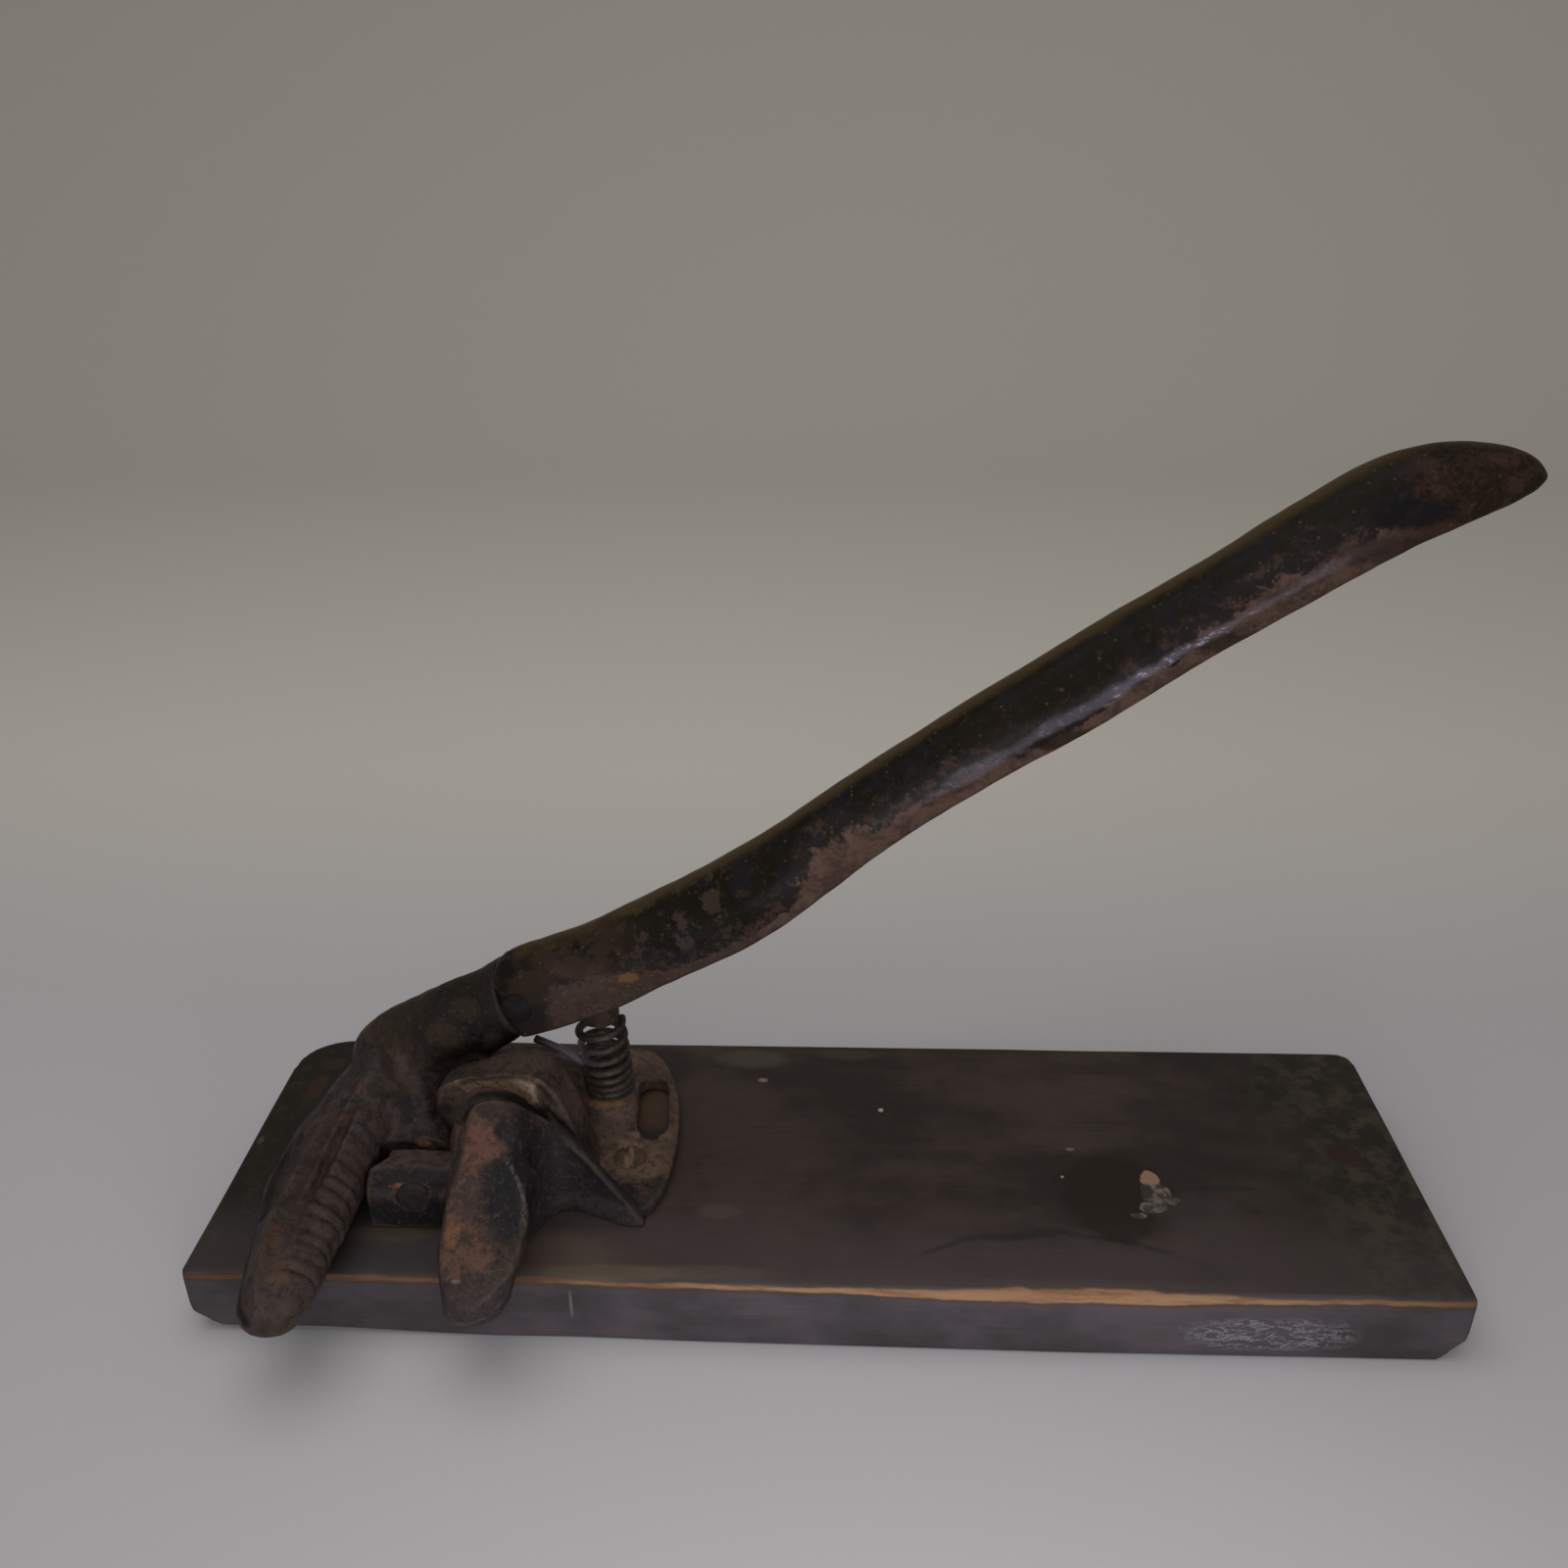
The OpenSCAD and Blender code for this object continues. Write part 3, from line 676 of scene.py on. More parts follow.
# Each mark: centre, radii, tone, strength and seed.
MARKS = [
    ((157, 56, 0), (5, 5, 3), (48, 32, 28), 0.8, 1), ((-24, 98, 0), (11, 5, 3), (84, 78, 68), 0.5, 2),
    ((8, 101, 0), (10, 3, 3), (72, 66, 60), 0.5, 3), ((108, 28, 0), (13, 9, 3), (66, 60, 58), 0.5, 4),
    ((-30, 27, 0), (6, 3, 3), (84, 74, 70), 0.5, 5), ((-70, 7, 0), (20, 8, 3), (86, 72, 66), 0.7, 6),
    ((-44, 12, 0), (16, 12, 3), (66, 56, 54), 0.6, 7),
    ((-34, 4, 0), (20, 2.4, 3), (92, 80, 72), 0.45, 8),
    ((-165, 80, 0), (3, 6, 3), (62, 42, 29), 0.6, 14),
    ((-164, 92, 0), (4, 3, 3), (50, 38, 27), 0.6, 15),
    ((-174, 54, 0), (0.9, 1.6, 3), (80, 72, 64), 0.6, 16),
    ((-123, 16, 0), (15, 2.6, 3), (78, 66, 60), 0.6, 17),
    ((-118, 7, 0), (13, 4, 3), (52, 52, 56), 0.6, 18),
    ((-74, 14, 0), (10, 4, 3), (82, 70, 62), 0.6, 19),
    ((-57, 3.5, 0), (20, 2.6, 3), (96, 84, 72), 0.6, 20),
    ((-20, 87, 0), (1.6, 1, 2), (130, 112, 96), 0.9, 9),
    ((18, 73, 0), (0.8, 0.8, 2), (190, 170, 150), 0.9, 10),
    ((75, 56, 0), (1.2, 0.7, 2), (136, 106, 90), 0.8, 11),
    ((71, 44, 0), (0.45, 0.5, 2), (170, 160, 150), 0.85, 12),
    ((-42.5, 62, 0), (3.4, 26, 3), (66, 53, 47), 0.6, 13)]
for centre, radii, tone, strength, seed in MARKS:
    mark = stain.patch(centre, radii, 0.5, max(radii[0] * 0.5, 1.0), 0.35, seed=seed)
    wood = stain.lay(wood, mark, strength, tone)
print("marks laid")

# %% Bare front edge, scuffs and relief
below = stain.times(z_mm, -1.0)
ragged_edge = stain.noise(7, 6, 0.72, stretch=(3, 1, 1), seed=11)
from_wide = stain.away(x_mm, 68.0)
thick = stain.times(stain.fading(from_wide, 14, 70), 1.5)
thick = stain.calc("ADD", thick, stain.calc("MULTIPLY_ADD", ragged_edge, 2.4, 0.5))
upper = stain.between(stain.calc("MULTIPLY_ADD", ragged_edge, -0.8, below), 0.1, 0.5)
near_front = stain.fading(y_mm, 1.4, 2.4)
strip = stain.times(upper, near_front)
bare = stain.times(strip, stain.fading(stain.calc("SUBTRACT", below, thick), -0.2, 0.4))
bare_rim = stain.times(strip, stain.fading(stain.calc("SUBTRACT", below, thick), 0.2, 1.4))
bare_grain = stain.between(stain.noise(3, 5, 0.7, stretch=(8, 1, 1), seed=12), 0.4, 0.65)
bare_tone = stain.mix(bare_grain, hue(142, 108, 80), hue(104, 74, 50))
end_shade = stain.between(stain.away(x_mm, 45.0), 70, 140)
bare_tone = stain.lay(bare_tone, end_shade, 0.75, (74, 52, 35))
wood = stain.lay(wood, bare_rim, 0.6, (66, 46, 34))
wood = stain.mix(bare, wood, bare_tone)
scuff = stain.patch((121, 0, -13), (24, 4, 6), 0.4, 6, 0.25, seed=3)
streaks = stain.noise(3, 6, 0.75, stretch=(3, 1, 1), seed=13, bend=0.6)
streaks = stain.fading(stain.away(streaks, 0.52), 0.008, 0.03)
scuff = stain.times(scuff, streaks)
wood = stain.lay(wood, scuff, 0.7, (134, 136, 140))
nick = stain.patch((-68.7, 0, -8.8), (0.4, 2, 4.4), 0.3, 2, 0.5)
wood = stain.lay(wood, nick, 0.5, (122, 118, 116))
gloss = stain.calc("MULTIPLY_ADD", dark_spill, -0.22, 0.62)
stain.relief(
    (broad_grain, 0.12), (fibre, 0.10), (mottle, 0.05), (stain.flip(chip), 0.5), (stain.flip(bare), 0.15))
dress(board, stain.done(wood, gloss), "base", "board", "board")

# %% [markdown]
# ## The base casting
#
# Pad, pin block, fixed jaw, guide ear and spring seat were poured as one piece of iron.
# The imported solid has the right forms but the crisp edges of a drawing. We melt it and
# relax the fixed jaw most, because that is where the real casting flows in soft, hollow
# curves. Each push inward is followed by a push outward, so its thin blade keeps its
# height. The skin also notes along which gaps and edges shade is painted, and on which
# edges glints are painted.

# %% Shape the base casting
hood_face = np.array([(-83, 16.4, 40), (-83, 10.8, 32.5), (-75.2, 25.4, 26), (-76.6, 26.4, 34)])
hood_form = skinned([hood_face, hood_face + (0, 5, -1)])
BASE_GRAIN = 0.65
base = melted("base_iron", [cad_form("base_casting"), hood_form], BASE_GRAIN)
relax(base, 3)
co = to_mm(points_of(base))
fixed = near(co, (-80, 5, 26), (34, 29, 27), 0.08) * np.clip((co[:, 2] - 2) / 3, 0, 1)
relax(base, 40, fixed, 0.49)
relax(base, 30, near(co, (-84, 12, 38), (8, 9, 8), 0.3))
relax(base, 45, near(co, (-79.5, 18, 34), (6, 8, 8), 0.3))
relax(base, 14, near(co, (-92, -14, 5), (16, 7, 8), 0.3))
seat_zone = near(co, (-66, 66, 9), (12, 12, 8), 0.1)
relax(base, 8, seat_zone)
ear_zone = near(co, (-86, 42, 26), (30, 8, 26), 0.1)
relax(base, 5, ear_zone)
print("corners of the casting rounded")

# %% Tilt the ear's back edge and lump the sand skin
co = to_mm(points_of(base))
behind = np.clip((co[:, 1] - 32.5) / 14, 0, 1) * np.clip((co[:, 2] - 27) / 9, 0, 1)
BACK_DROP = [(-112, 2.4), (-108.8, 3.5), (-102.7, 4.2), (-96.8, 3.7), (-90.8, 1.7), (-84.9, 0.5), (-80, 0)]
drop = np.interp(co[:, 0], [d[0] for d in BACK_DROP], [d[1] for d in BACK_DROP])
co[:, 2] -= drop * behind * (co[:, 1] < 47.5)
height = co[:, 2]
front = np.clip((18 - co[:, 1]) / 5, 0, 1) * (co[:, 0] > -106) * (co[:, 0] < -70)
left_in = np.interp(height, [3, 14, 18, 24, 40, 46], [0, 0.4, 0.7, 1.8, 2.2, 1.0])
right_out = np.interp(height, [3, 9, 15, 22, 27, 31, 34], [0, 1.8, 4.2, 5.0, 4.0, 1.0, 0])
share = np.clip((co[:, 0] + 99) / 16, 0, 1)
co[:, 0] += front * (left_in * (1 - share) + right_out * share)
block = np.clip((-117 - co[:, 0]) / 4, 0, 1) * (height < 17.5) * (co[:, 0] > -127)
co[:, 0] -= 4.0 * block * np.interp(co[:, 1], [17, 18.4, 24, 28.5], [0, 1, 1, 0])
HOOD_GAP = [
    (-97.9, 17.0, 41.6), (-97.0, 18.9, 43.6), (-95.4, 20.4, 45), (-93.5, 21.3, 45.5),
    (-90.5, 21.9, 45.5), (-86.8, 22.8, 44.6), (-83.2, 24.2, 42.1), (-79.9, 26.2, 37.9),
    (-76.5, 28.2, 33.4)]
gap = near_line(co, HOOD_GAP, 1.3, 0.6)
co[:, 2] -= 2.3 * gap * (height > 30)
set_points(base, to_metres(co))
lump(base, 9, 0.4, 5)
lump(base, 3.2, 0.14, 6)
BLADE_BACK = [
    (-76.5, 29.6, 34), (-72, 29.8, 27), (-68, 29, 22), (-64, 27.6, 17.7), (-60, 25.8, 13.9),
    (-56, 24.6, 10.5), (-52, 24.8, 6.5)]
EAR_SIDE = [
    (-106.5, 32.5, 42.8), (-109.2, 32.5, 38), (-109.8, 32.5, 34), (-109.3, 32.5, 30),
    (-107.4, 32.5, 25.6), (-105.9, 32.5, 21.7)]
FINGER_SIDE = [(-96.6, 15.5, 39.5), (-98.6, 8, 31), (-100.6, 1, 25), (-101.2, -5, 21), (-100.4, -12, 16)]
EAR_RIM = [
    (-101, 33, 40.8), (-97, 33, 42.4), (-91, 32.9, 43.1), (-85, 32.9, 43.1), (-81, 32.9, 41.6),
    (-78.5, 32.9, 38.6), (-75.5, 32.7, 34)]
CREST = [
    (-76, 26, 32), (-71.3, 25.7, 24.4), (-68.2, 25, 20.4), (-64.1, 23.7, 16.4), (-59.9, 21.8, 12.6),
    (-55.8, 20.6, 9.2), (-52, 20.8, 4.6)]
# Painted shade: near black along the gap behind the hood, the back of the blade, the ear's left side and rim
# and the finger's left side, and lighter along the blade's crest.
painted_shade = np.maximum(near_line(co, HOOD_GAP, 2.0, 0.4), 0.8 * near_line(co, BLADE_BACK, 1.8, 0.8))
SHADED_LINES = [(EAR_SIDE, 0.9, 0.85), (EAR_RIM, 1.0, 0.75), (FINGER_SIDE, 1.2, 0.7), (CREST, 1.2, 0.4)]
for line, reach, strength in SHADED_LINES:
    painted_shade = np.maximum(painted_shade, strength * near_line(co, line, reach, 0.5))
note(base, "painted_shade", painted_shade)
# Painted glints: a thin bright line down the finger's right edge and a rim along the lower lip of its nose.
BRIGHT_EDGE = [
    (-84.2, 9.9, 32.8), (-81.6, 7.2, 29.5), (-80.3, 5.3, 27.9), (-79.3, 3.4, 26.3), (-78.6, 1.5, 24.8),
    (-78.4, -3, 21)]
LIP = [(-97, -18.4, 7.5), (-93, -20, 5.6), (-88, -18.8, 5.4), (-85, -16, 5.6), (-82, -11, 8)]
note(base, "painted_glint", 0.8 * near_line(co, BRIGHT_EDGE, 0.3, 0.5) + 0.6 * near_line(co, LIP, 0.3, 0.6))
note_crests(base)
print("base casting shaped")

# %% [markdown]
# ## Old iron
#
# Base and lever were once black. Years of hands, nuts and shells have turned them into a
# patchwork without clear borders: black, purple grey, olive and rust brown wander into
# each other. One recipe makes this ground, darker in the hollows and paler on the crests.
# Each casting then gets its own touches of tone at its own places.

# %% The ground of old iron
def old_iron(name, dark, warm, cool, pale, hollow):
    iron = Finish(name, roughness=0.6, specular=0.14)
    coarse = iron.noise(7, 7, 0.66, seed=1)
    fine = iron.noise(1.3, 6, 0.7, seed=2)
    cloud = iron.noise(13, 4, 0.55, seed=3)
    ground = iron.mix(iron.between(cloud, 0.42, 0.6), warm, cool)
    for size, tone, seed in [(5, (78, 52, 43), 9), (6, (46, 44, 33), 11), (7, (58, 52, 60), 13)]:
        blotch = iron.between(iron.noise(size, 6, 0.7, seed=seed), 0.52, 0.57)
        ground = iron.lay(ground, blotch, 0.65, tone)
    ground = iron.mix(iron.between(coarse, 0.5, 0.58), ground, dark)
    paler = iron.between(iron.noise(4, 6, 0.7, seed=4), 0.52, 0.62)
    ground = iron.mix(iron.times(paler, 0.6), ground, pale)
    low = iron.fading(iron.attribute("crest"), 0.12, 0.42)
    ground = iron.mix(iron.times(low, 0.6), ground, hollow)
    return iron, ground, coarse, fine


def weathered(iron, colour, fine, pale, dark):
    """The last layer: crests worn pale, partly as a painted highlight, a fine grain of dust
    and pits, painted shade along gaps and edges, and painted glints on a few edges.
    """
    blotch = iron.between(iron.noise(2.6, 7, 0.75, seed=6), 0.5, 0.58)
    colour = iron.mix(iron.times(blotch, 0.5), colour, dark)
    bloom = iron.between(iron.noise(2.1, 7, 0.75, seed=16), 0.56, 0.64)
    colour = iron.mix(iron.times(bloom, 0.4), colour, pale)
    # Paler crests: partly wear, partly a painted highlight along ridges and edges.
    proud = iron.between(iron.attribute("crest"), 0.74, 1.0)
    colour = iron.mix(iron.times(proud, 0.35), colour, pale)
    colour = iron.mix(iron.times(iron.between(fine, 0.54, 0.66), 0.45), colour, pale)
    pits = iron.fading(fine, 0.36, 0.46)
    colour = iron.mix(iron.times(pits, 0.55), colour, dark)
    # Painted shade: near black along the gaps and edges noted on the skin.
    colour = iron.lay(colour, iron.attribute("painted_shade"), 0.97, (7, 6, 4))
    # Painted glints: pale grey spots on the edges noted for them.
    painted_glint_spots = iron.times(iron.attribute("painted_glint"), iron.between(fine, 0.42, 0.56))
    return iron.mix(painted_glint_spots, colour, hue(104, 100, 104))


print("recipe ready")

# %% Colour the base casting
iron, colour, coarse, fine = old_iron(
    "old_base_iron", hue(34, 29, 28), hue(54, 44, 38), hue(47, 40, 42), hue(70, 56, 48), hue(30, 25, 22))
colour = iron.touch(colour, [
    ((-66, 70, 5), (26, 32, 8), (98, 79, 69), 0.85), ((-57, 44, 4), (13, 9, 3), (108, 87, 76), 0.85),
    ((-88, 43, 43), (20, 8, 4), (78, 64, 56), 0.7),
    # Dust on the ear's front face, laid much lighter as painted light where the fixed jaw shades it.
    ((-91, 32.5, 38), (16, 1.8, 6.2), (146, 122, 104), 0.95),
    ((-104, 32.5, 34), (4, 2, 7), (76, 62, 54), 0.7), ((-75, 33.4, 33), (5, 4, 12), (60, 48, 42), 0.8),
    # The first spot on the next line is painted light on the slope under the handle, in the handle's shade.
    ((-72.6, 44, 29), (4, 9, 9), (74, 60, 52), 0.85), ((-56, 82, 5), (10, 5, 3), (64, 50, 44), 0.6),
    ((-107, 37, 37), (4, 8, 6), (58, 48, 42), 0.6),
    ((-107, 32.5, 31.5), (1.8, 2, 2.2), (32, 25, 22), 0.8),
    ((-78.5, 33, 38), (2.5, 3, 3), (38, 30, 26), 0.7), ((-70, 20, 14), (20, 14, 19), (31, 30, 33), 0.9),
    ((-77, 24, 22), (5, 4, 5), (38, 30, 30), 0.6), ((-68, 22, 15), (14, 5, 1.6), (28, 30, 38), 0.8),
    ((-62, 20, 5), (16, 9, 4), (56, 52, 54), 0.6)])
print("broad tones of the base laid")

# %% Rust, blue black and a painted glint on the fixed jaw
finger = iron.patch((-93, 2, 22), (9, 30, 34), 0.25, 6, 0.2, seed=3)
rusty = iron.mix(iron.between(coarse, 0.44, 0.54), hue(84, 58, 49), hue(58, 44, 40))
rusty = iron.lay(rusty, iron.between(fine, 0.52, 0.64), 0.5, (104, 74, 56))
colour = iron.mix(iron.times(finger, 0.9), colour, rusty)
colour = iron.touch(colour, [
    ((-82.5, 3, 25), (7, 12, 12), (15, 17, 20), 0.97), ((-83, 16, 39), (5.4, 6, 6), (24, 19, 20), 0.95),
    ((-79, 14, 32), (6, 8, 7), (22, 22, 24), 0.95), ((-88, 8, 31), (3.4, 3, 3), (19, 20, 22), 0.8),
    ((-92, 19, 43), (14, 3, 2.6), (44, 35, 30), 0.8), ((-98.5, 12, 36), (1.8, 8, 8), (52, 42, 34), 0.6),
    ((-92, -16, 7), (12, 8, 9), (52, 43, 43), 0.9), ((-97, -5, 20), (2, 3.4, 5), (116, 78, 46), 0.5),
    ((-90, -9, 17), (5, 4, 4), (86, 62, 47), 0.7), ((-93, 13, 37), (4.6, 6, 6), (92, 62, 52), 0.85),
    # A painted highlight: a small pale glint on the finger's nose.
    ((-94.1, -15.4, 15), (1.2, 0.6, 0.4), (104, 98, 98), 0.6)], 0.75)
colour = iron.touch(colour, [
    ((-116, 28, 17), (13, 8, 1.6), (74, 60, 58), 0.8),
    ((-116, 21.4, 15.2), (15, 4, 2.8), (26, 22, 26), 1.0),
    ((-116, 18.5, 5.4), (15, 3, 5.6), (21, 22, 25), 0.95),
    ((-116, 19, 14.4), (5.4, 1.6, 1.1), (132, 92, 60), 0.9),
    ((-65, 58.5, 13), (7, 2, 1.6), (120, 88, 56), 0.7),
    ((-60, 53, 4), (9, 1.2, 1.6), (90, 68, 54), 0.6), ((-54, 66, 4), (4, 11, 2.4), (62, 48, 41), 0.7)])
colour = weathered(iron, colour, fine, hue(76, 62, 54), hue(29, 24, 22))
iron.relief((coarse, 0.42), (iron.noise(3, 5, 0.65, seed=17), 0.2), (fine, 0.16))
base_iron = iron.done(colour, iron.calc("MULTIPLY_ADD", coarse, 0.3, 0.35))
dress(base, base_iron, "base", "base_casting", "base_casting")

# %% [markdown]
# ## The lever casting
#
# The moving jaw, the lever's root and the hub on the pin are one casting too. The jaw is a
# long wedge: a flange on the left, a smooth spine, a furrow and then the ribbed face that
# grips the nut. Its section changes all the way, so it is skinned over many rings that
# run through rows of sizes, and the ribs are pressed in by a wave along its length.

# %% The moving jaw, ring by ring
# Each row: y, flange edge x and z, spine x and z, furrow x and z, face x and z, bottom z.
JAW_ROWS = [
    [66, -140.5, 26, -133.6, 32.6, -127.2, 35, -116, 29, 20],
    [58, -145, 25, -134.8, 34, -128.8, 35.8, -117.5, 29, 14],
    [49, -150, 21.5, -136.8, 31.9, -131.2, 34, -119.5, 26, 7],
    [38, -155.6, 17, -141.2, 27.9, -134.6, 29.4, -126.4, 20, 2],
    [26, -158.2, 14, -144.4, 24.4, -136.8, 25.4, -129.4, 16.5, 1.2],
    [14, -157.4, 12.5, -146, 21.9, -138.4, 22.4, -130.2, 14.5, 1.2],
    [2, -155, 11.5, -146.9, 20.2, -139.8, 20, -131.4, 13.2, 1.2],
    [-10, -153.4, 11, -146.4, 18.7, -140.6, 18.2, -131.8, 12.3, 0.8],
    [-17, -152.2, 10.5, -145.4, 17.4, -140.2, 16.8, -132.8, 11.4, 0.6],
    [-22.5, -150.4, 10, -144.2, 15.2, -139.4, 14.4, -134.2, 10.2, 1.2],
    [-25.6, -147.5, 9, -143.8, 11.8, -140.4, 11, -137.2, 9.2, 4.8]]
RIB_COUNT, RIB_FROM, RIB_TO, RIB_HEIGHT = 13, 38.0, -18.0, 1.4


def rib_press(y):
    if not RIB_TO < y < RIB_FROM:
        return 0.0
    turn = math.pi * RIB_COUNT * (RIB_FROM - y) / (RIB_FROM - RIB_TO)
    wander = 0.75 + 0.25 * math.sin(y * 0.9) * math.cos(y * 0.37 + 1)
    return RIB_HEIGHT * wander * abs(math.sin(turn + 0.25 * math.sin(y * 0.7))) ** 1.1


def step_up(y, start, end):
    t = min(max((y - start) / (end - start), 0), 1)
    return t * t * (3 - 2 * t)


print("a rib stands", round(rib_press(RIB_FROM - 2.15), 1), "mm proud")

# %% The jaw's outline at each ring
def jaw_ring(y):
    ys = [r[0] for r in JAW_ROWS]
    i = max([k for k in range(len(ys) - 1) if ys[k] >= y] or [0])
    p = row(JAW_ROWS, i + (ys[i] - y) / (ys[i] - ys[i + 1]))
    edge, spine, furrow, face, low = p[1:3], p[3:5], p[5:7], p[7:9], p[9]
    press = rib_press(y)
    trench = (0.7 + 1.5 * step_up(y, 0, 18)) * step_up(y, -24, -10) * (1 - step_up(y, 40, 52))
    hollow = 3.0 * (1 - step_up(y, 24, 34))
    outer = edge + (spine - edge) * 0.35 - (0, hollow * step_up(y, 3, 4.4) - 0.8)
    inner = edge + (spine - edge) * 0.7 - (0, hollow * step_up(y, 6.6, 8) - 0.6)
    outline = [
        (edge[0] + 3, low), (edge[0], (edge[1] + low) / 2), (edge[0] + 0.5, edge[1]), outer, inner,
        spine - (0.8, 0.5), spine + (0, 1.0), spine + (0.8, 0.2), spine + (furrow - spine) * 0.5 - (0, 0.5),
        furrow - (2.4, 0.2), furrow - (1.2, trench), furrow + (0.6, press * 0.3 - trench),
        furrow + (1.5, press - 1.2), (furrow + face) / 2 + (1.2, 0.5 + press * 0.9),
        face + (press * 0.75, press * 0.5),
        (face[0] - 1.2 + press * 0.7, (face[1] + low) / 2 - 1), (face[0] - 5, low)]
    return [(x, y, z) for x, z in cut_corners(outline, 2)]


jaw_form = skinned([jaw_ring(y) for y in np.arange(66, -25.8, -0.4)])
print("jaw points:", len(jaw_form[0]))

# %% Root, tang, web and hub
# Each row: x, z, half height, half width and tilt of an oval section.
ROOT_ROWS = [
    [-139, 27.5, 5.5, 8.0, 30], [-134.5, 29.2, 9.2, 10.8, 30], [-128, 31.4, 12, 12, 30],
    [-116, 36.8, 13.2, 12.5, 30], [-106.6, 42.2, 12.8, 12.5, 30], [-99, 46.9, 11.9, 12.4, 27],
    [-91.2, 51.8, 11.8, 12.2, 23]]
TANG_ROWS = [[-95, 49, 7.0, 7.6, 22], [-86, 53.4, 7.0, 7.6, 22], [-79.4, 56, 6.2, 7.2, 22]]
LEVER_Y = 60.0
PIVOT = (-115.0, 10.5)
HUB_R = 7.8


def oval_ring(x, z, half_h, half_w, tilt, sides=56):
    ring = []
    for k in range(sides):
        a = 2 * math.pi * k / sides
        u, v = half_w * math.cos(a), half_h * math.sin(a) * (1 - 0.06 * math.cos(a) ** 2)
        ring.append((x - v * math.sin(math.radians(tilt)), LEVER_Y + u, z + v * math.cos(math.radians(tilt))))
    return ring


def oval_bar(rows, step):
    return skinned([oval_ring(*row(rows, s)) for s in np.arange(0, len(rows) - 1 + 1e-6, step)])


web_form = slab([
    (-122.6, 9), (-120.2, 5.4), (-115, 3.2), (-109.8, 5.4), (-107.4, 9), (-106.5, 14), (-104, 20),
    (-101, 28), (-99, 36), (-104, 42), (-118, 38), (-132, 30), (-137, 22), (-131, 14)], 48.6, 71.4, 1)
crest_form = bar((-126.5, 50.2, 39), (-116.6, 45.2, 18.6), 2.6, 3.0)


def crotch_ring(x, d):
    slope = [(41 + d, 19.6), (43.6 + d, 23), (46 + d, 28), (48 + d, 34)]
    outline = [(35.6, 8), (35.6, 17), (38.2, 17.6)] + slope + [(50, 41), (54, 41), (54, 8)]
    return [(x, y, z) for y, z in outline]


CROTCH_ROWS = [(-128, -1.5), (-124, -1.0), (-120, -0.4), (-117, 0.8), (-115, 2.4)]
crotch_form = skinned([crotch_ring(x, d) for x, d in CROTCH_ROWS])
hub_form = bar((PIVOT[0], 35.3, PIVOT[1]), (PIVOT[0], 79.3, PIVOT[1]), HUB_R, HUB_R, 64)
print("root, tang, web and hub drawn")

# %% Pour the lever
LEVER_GRAIN = 0.55
lever_forms = [
    jaw_form, oval_bar(ROOT_ROWS, 0.125), oval_bar(TANG_ROWS, 0.25),
    web_form, crotch_form, crest_form, hub_form]
lever = melted("lever_iron", lever_forms, LEVER_GRAIN)
relax(lever, 1)
co = to_mm(points_of(lever))
crotch_zone = near(co, (-121, 44, 24), (13, 13, 19), 0.25) * np.clip((co[:, 2] - 17) / 3, 0, 1)
joint_zone = near(co, (-133, 58, 27), (16, 16, 14), 0.3)
relax(lever, 45, np.maximum(crotch_zone, 0.6 * joint_zone))
nose_zone = np.clip((-17 - co[:, 1]) / 5, 0, 1)
relax(lever, 25, nose_zone, 0.3)
lump(lever, 10, 0.6, 8)
lump(lever, 3, 0.2, 9)
note_crests(lever)
co = to_mm(points_of(lever))
# Painted shade: a dark line along the flange's outer edge, where it meets the board, and a darker band at the
# root's end under the sleeve.
flange = [(0.8 * r[1] + 0.2 * r[3], r[0], 0.8 * r[2] + 0.2 * r[4] + 0.3) for r in JAW_ROWS]
root_end = near(co, (-92.5, 60, 52), (3.4, 18, 18), 0.5)
note(lever, "painted_shade", np.maximum(0.9 * near_line(co, flange, 1.7, 0.8), 0.5 * root_end))
note(lever, "painted_glint", np.zeros(len(co)))
print("lever poured")

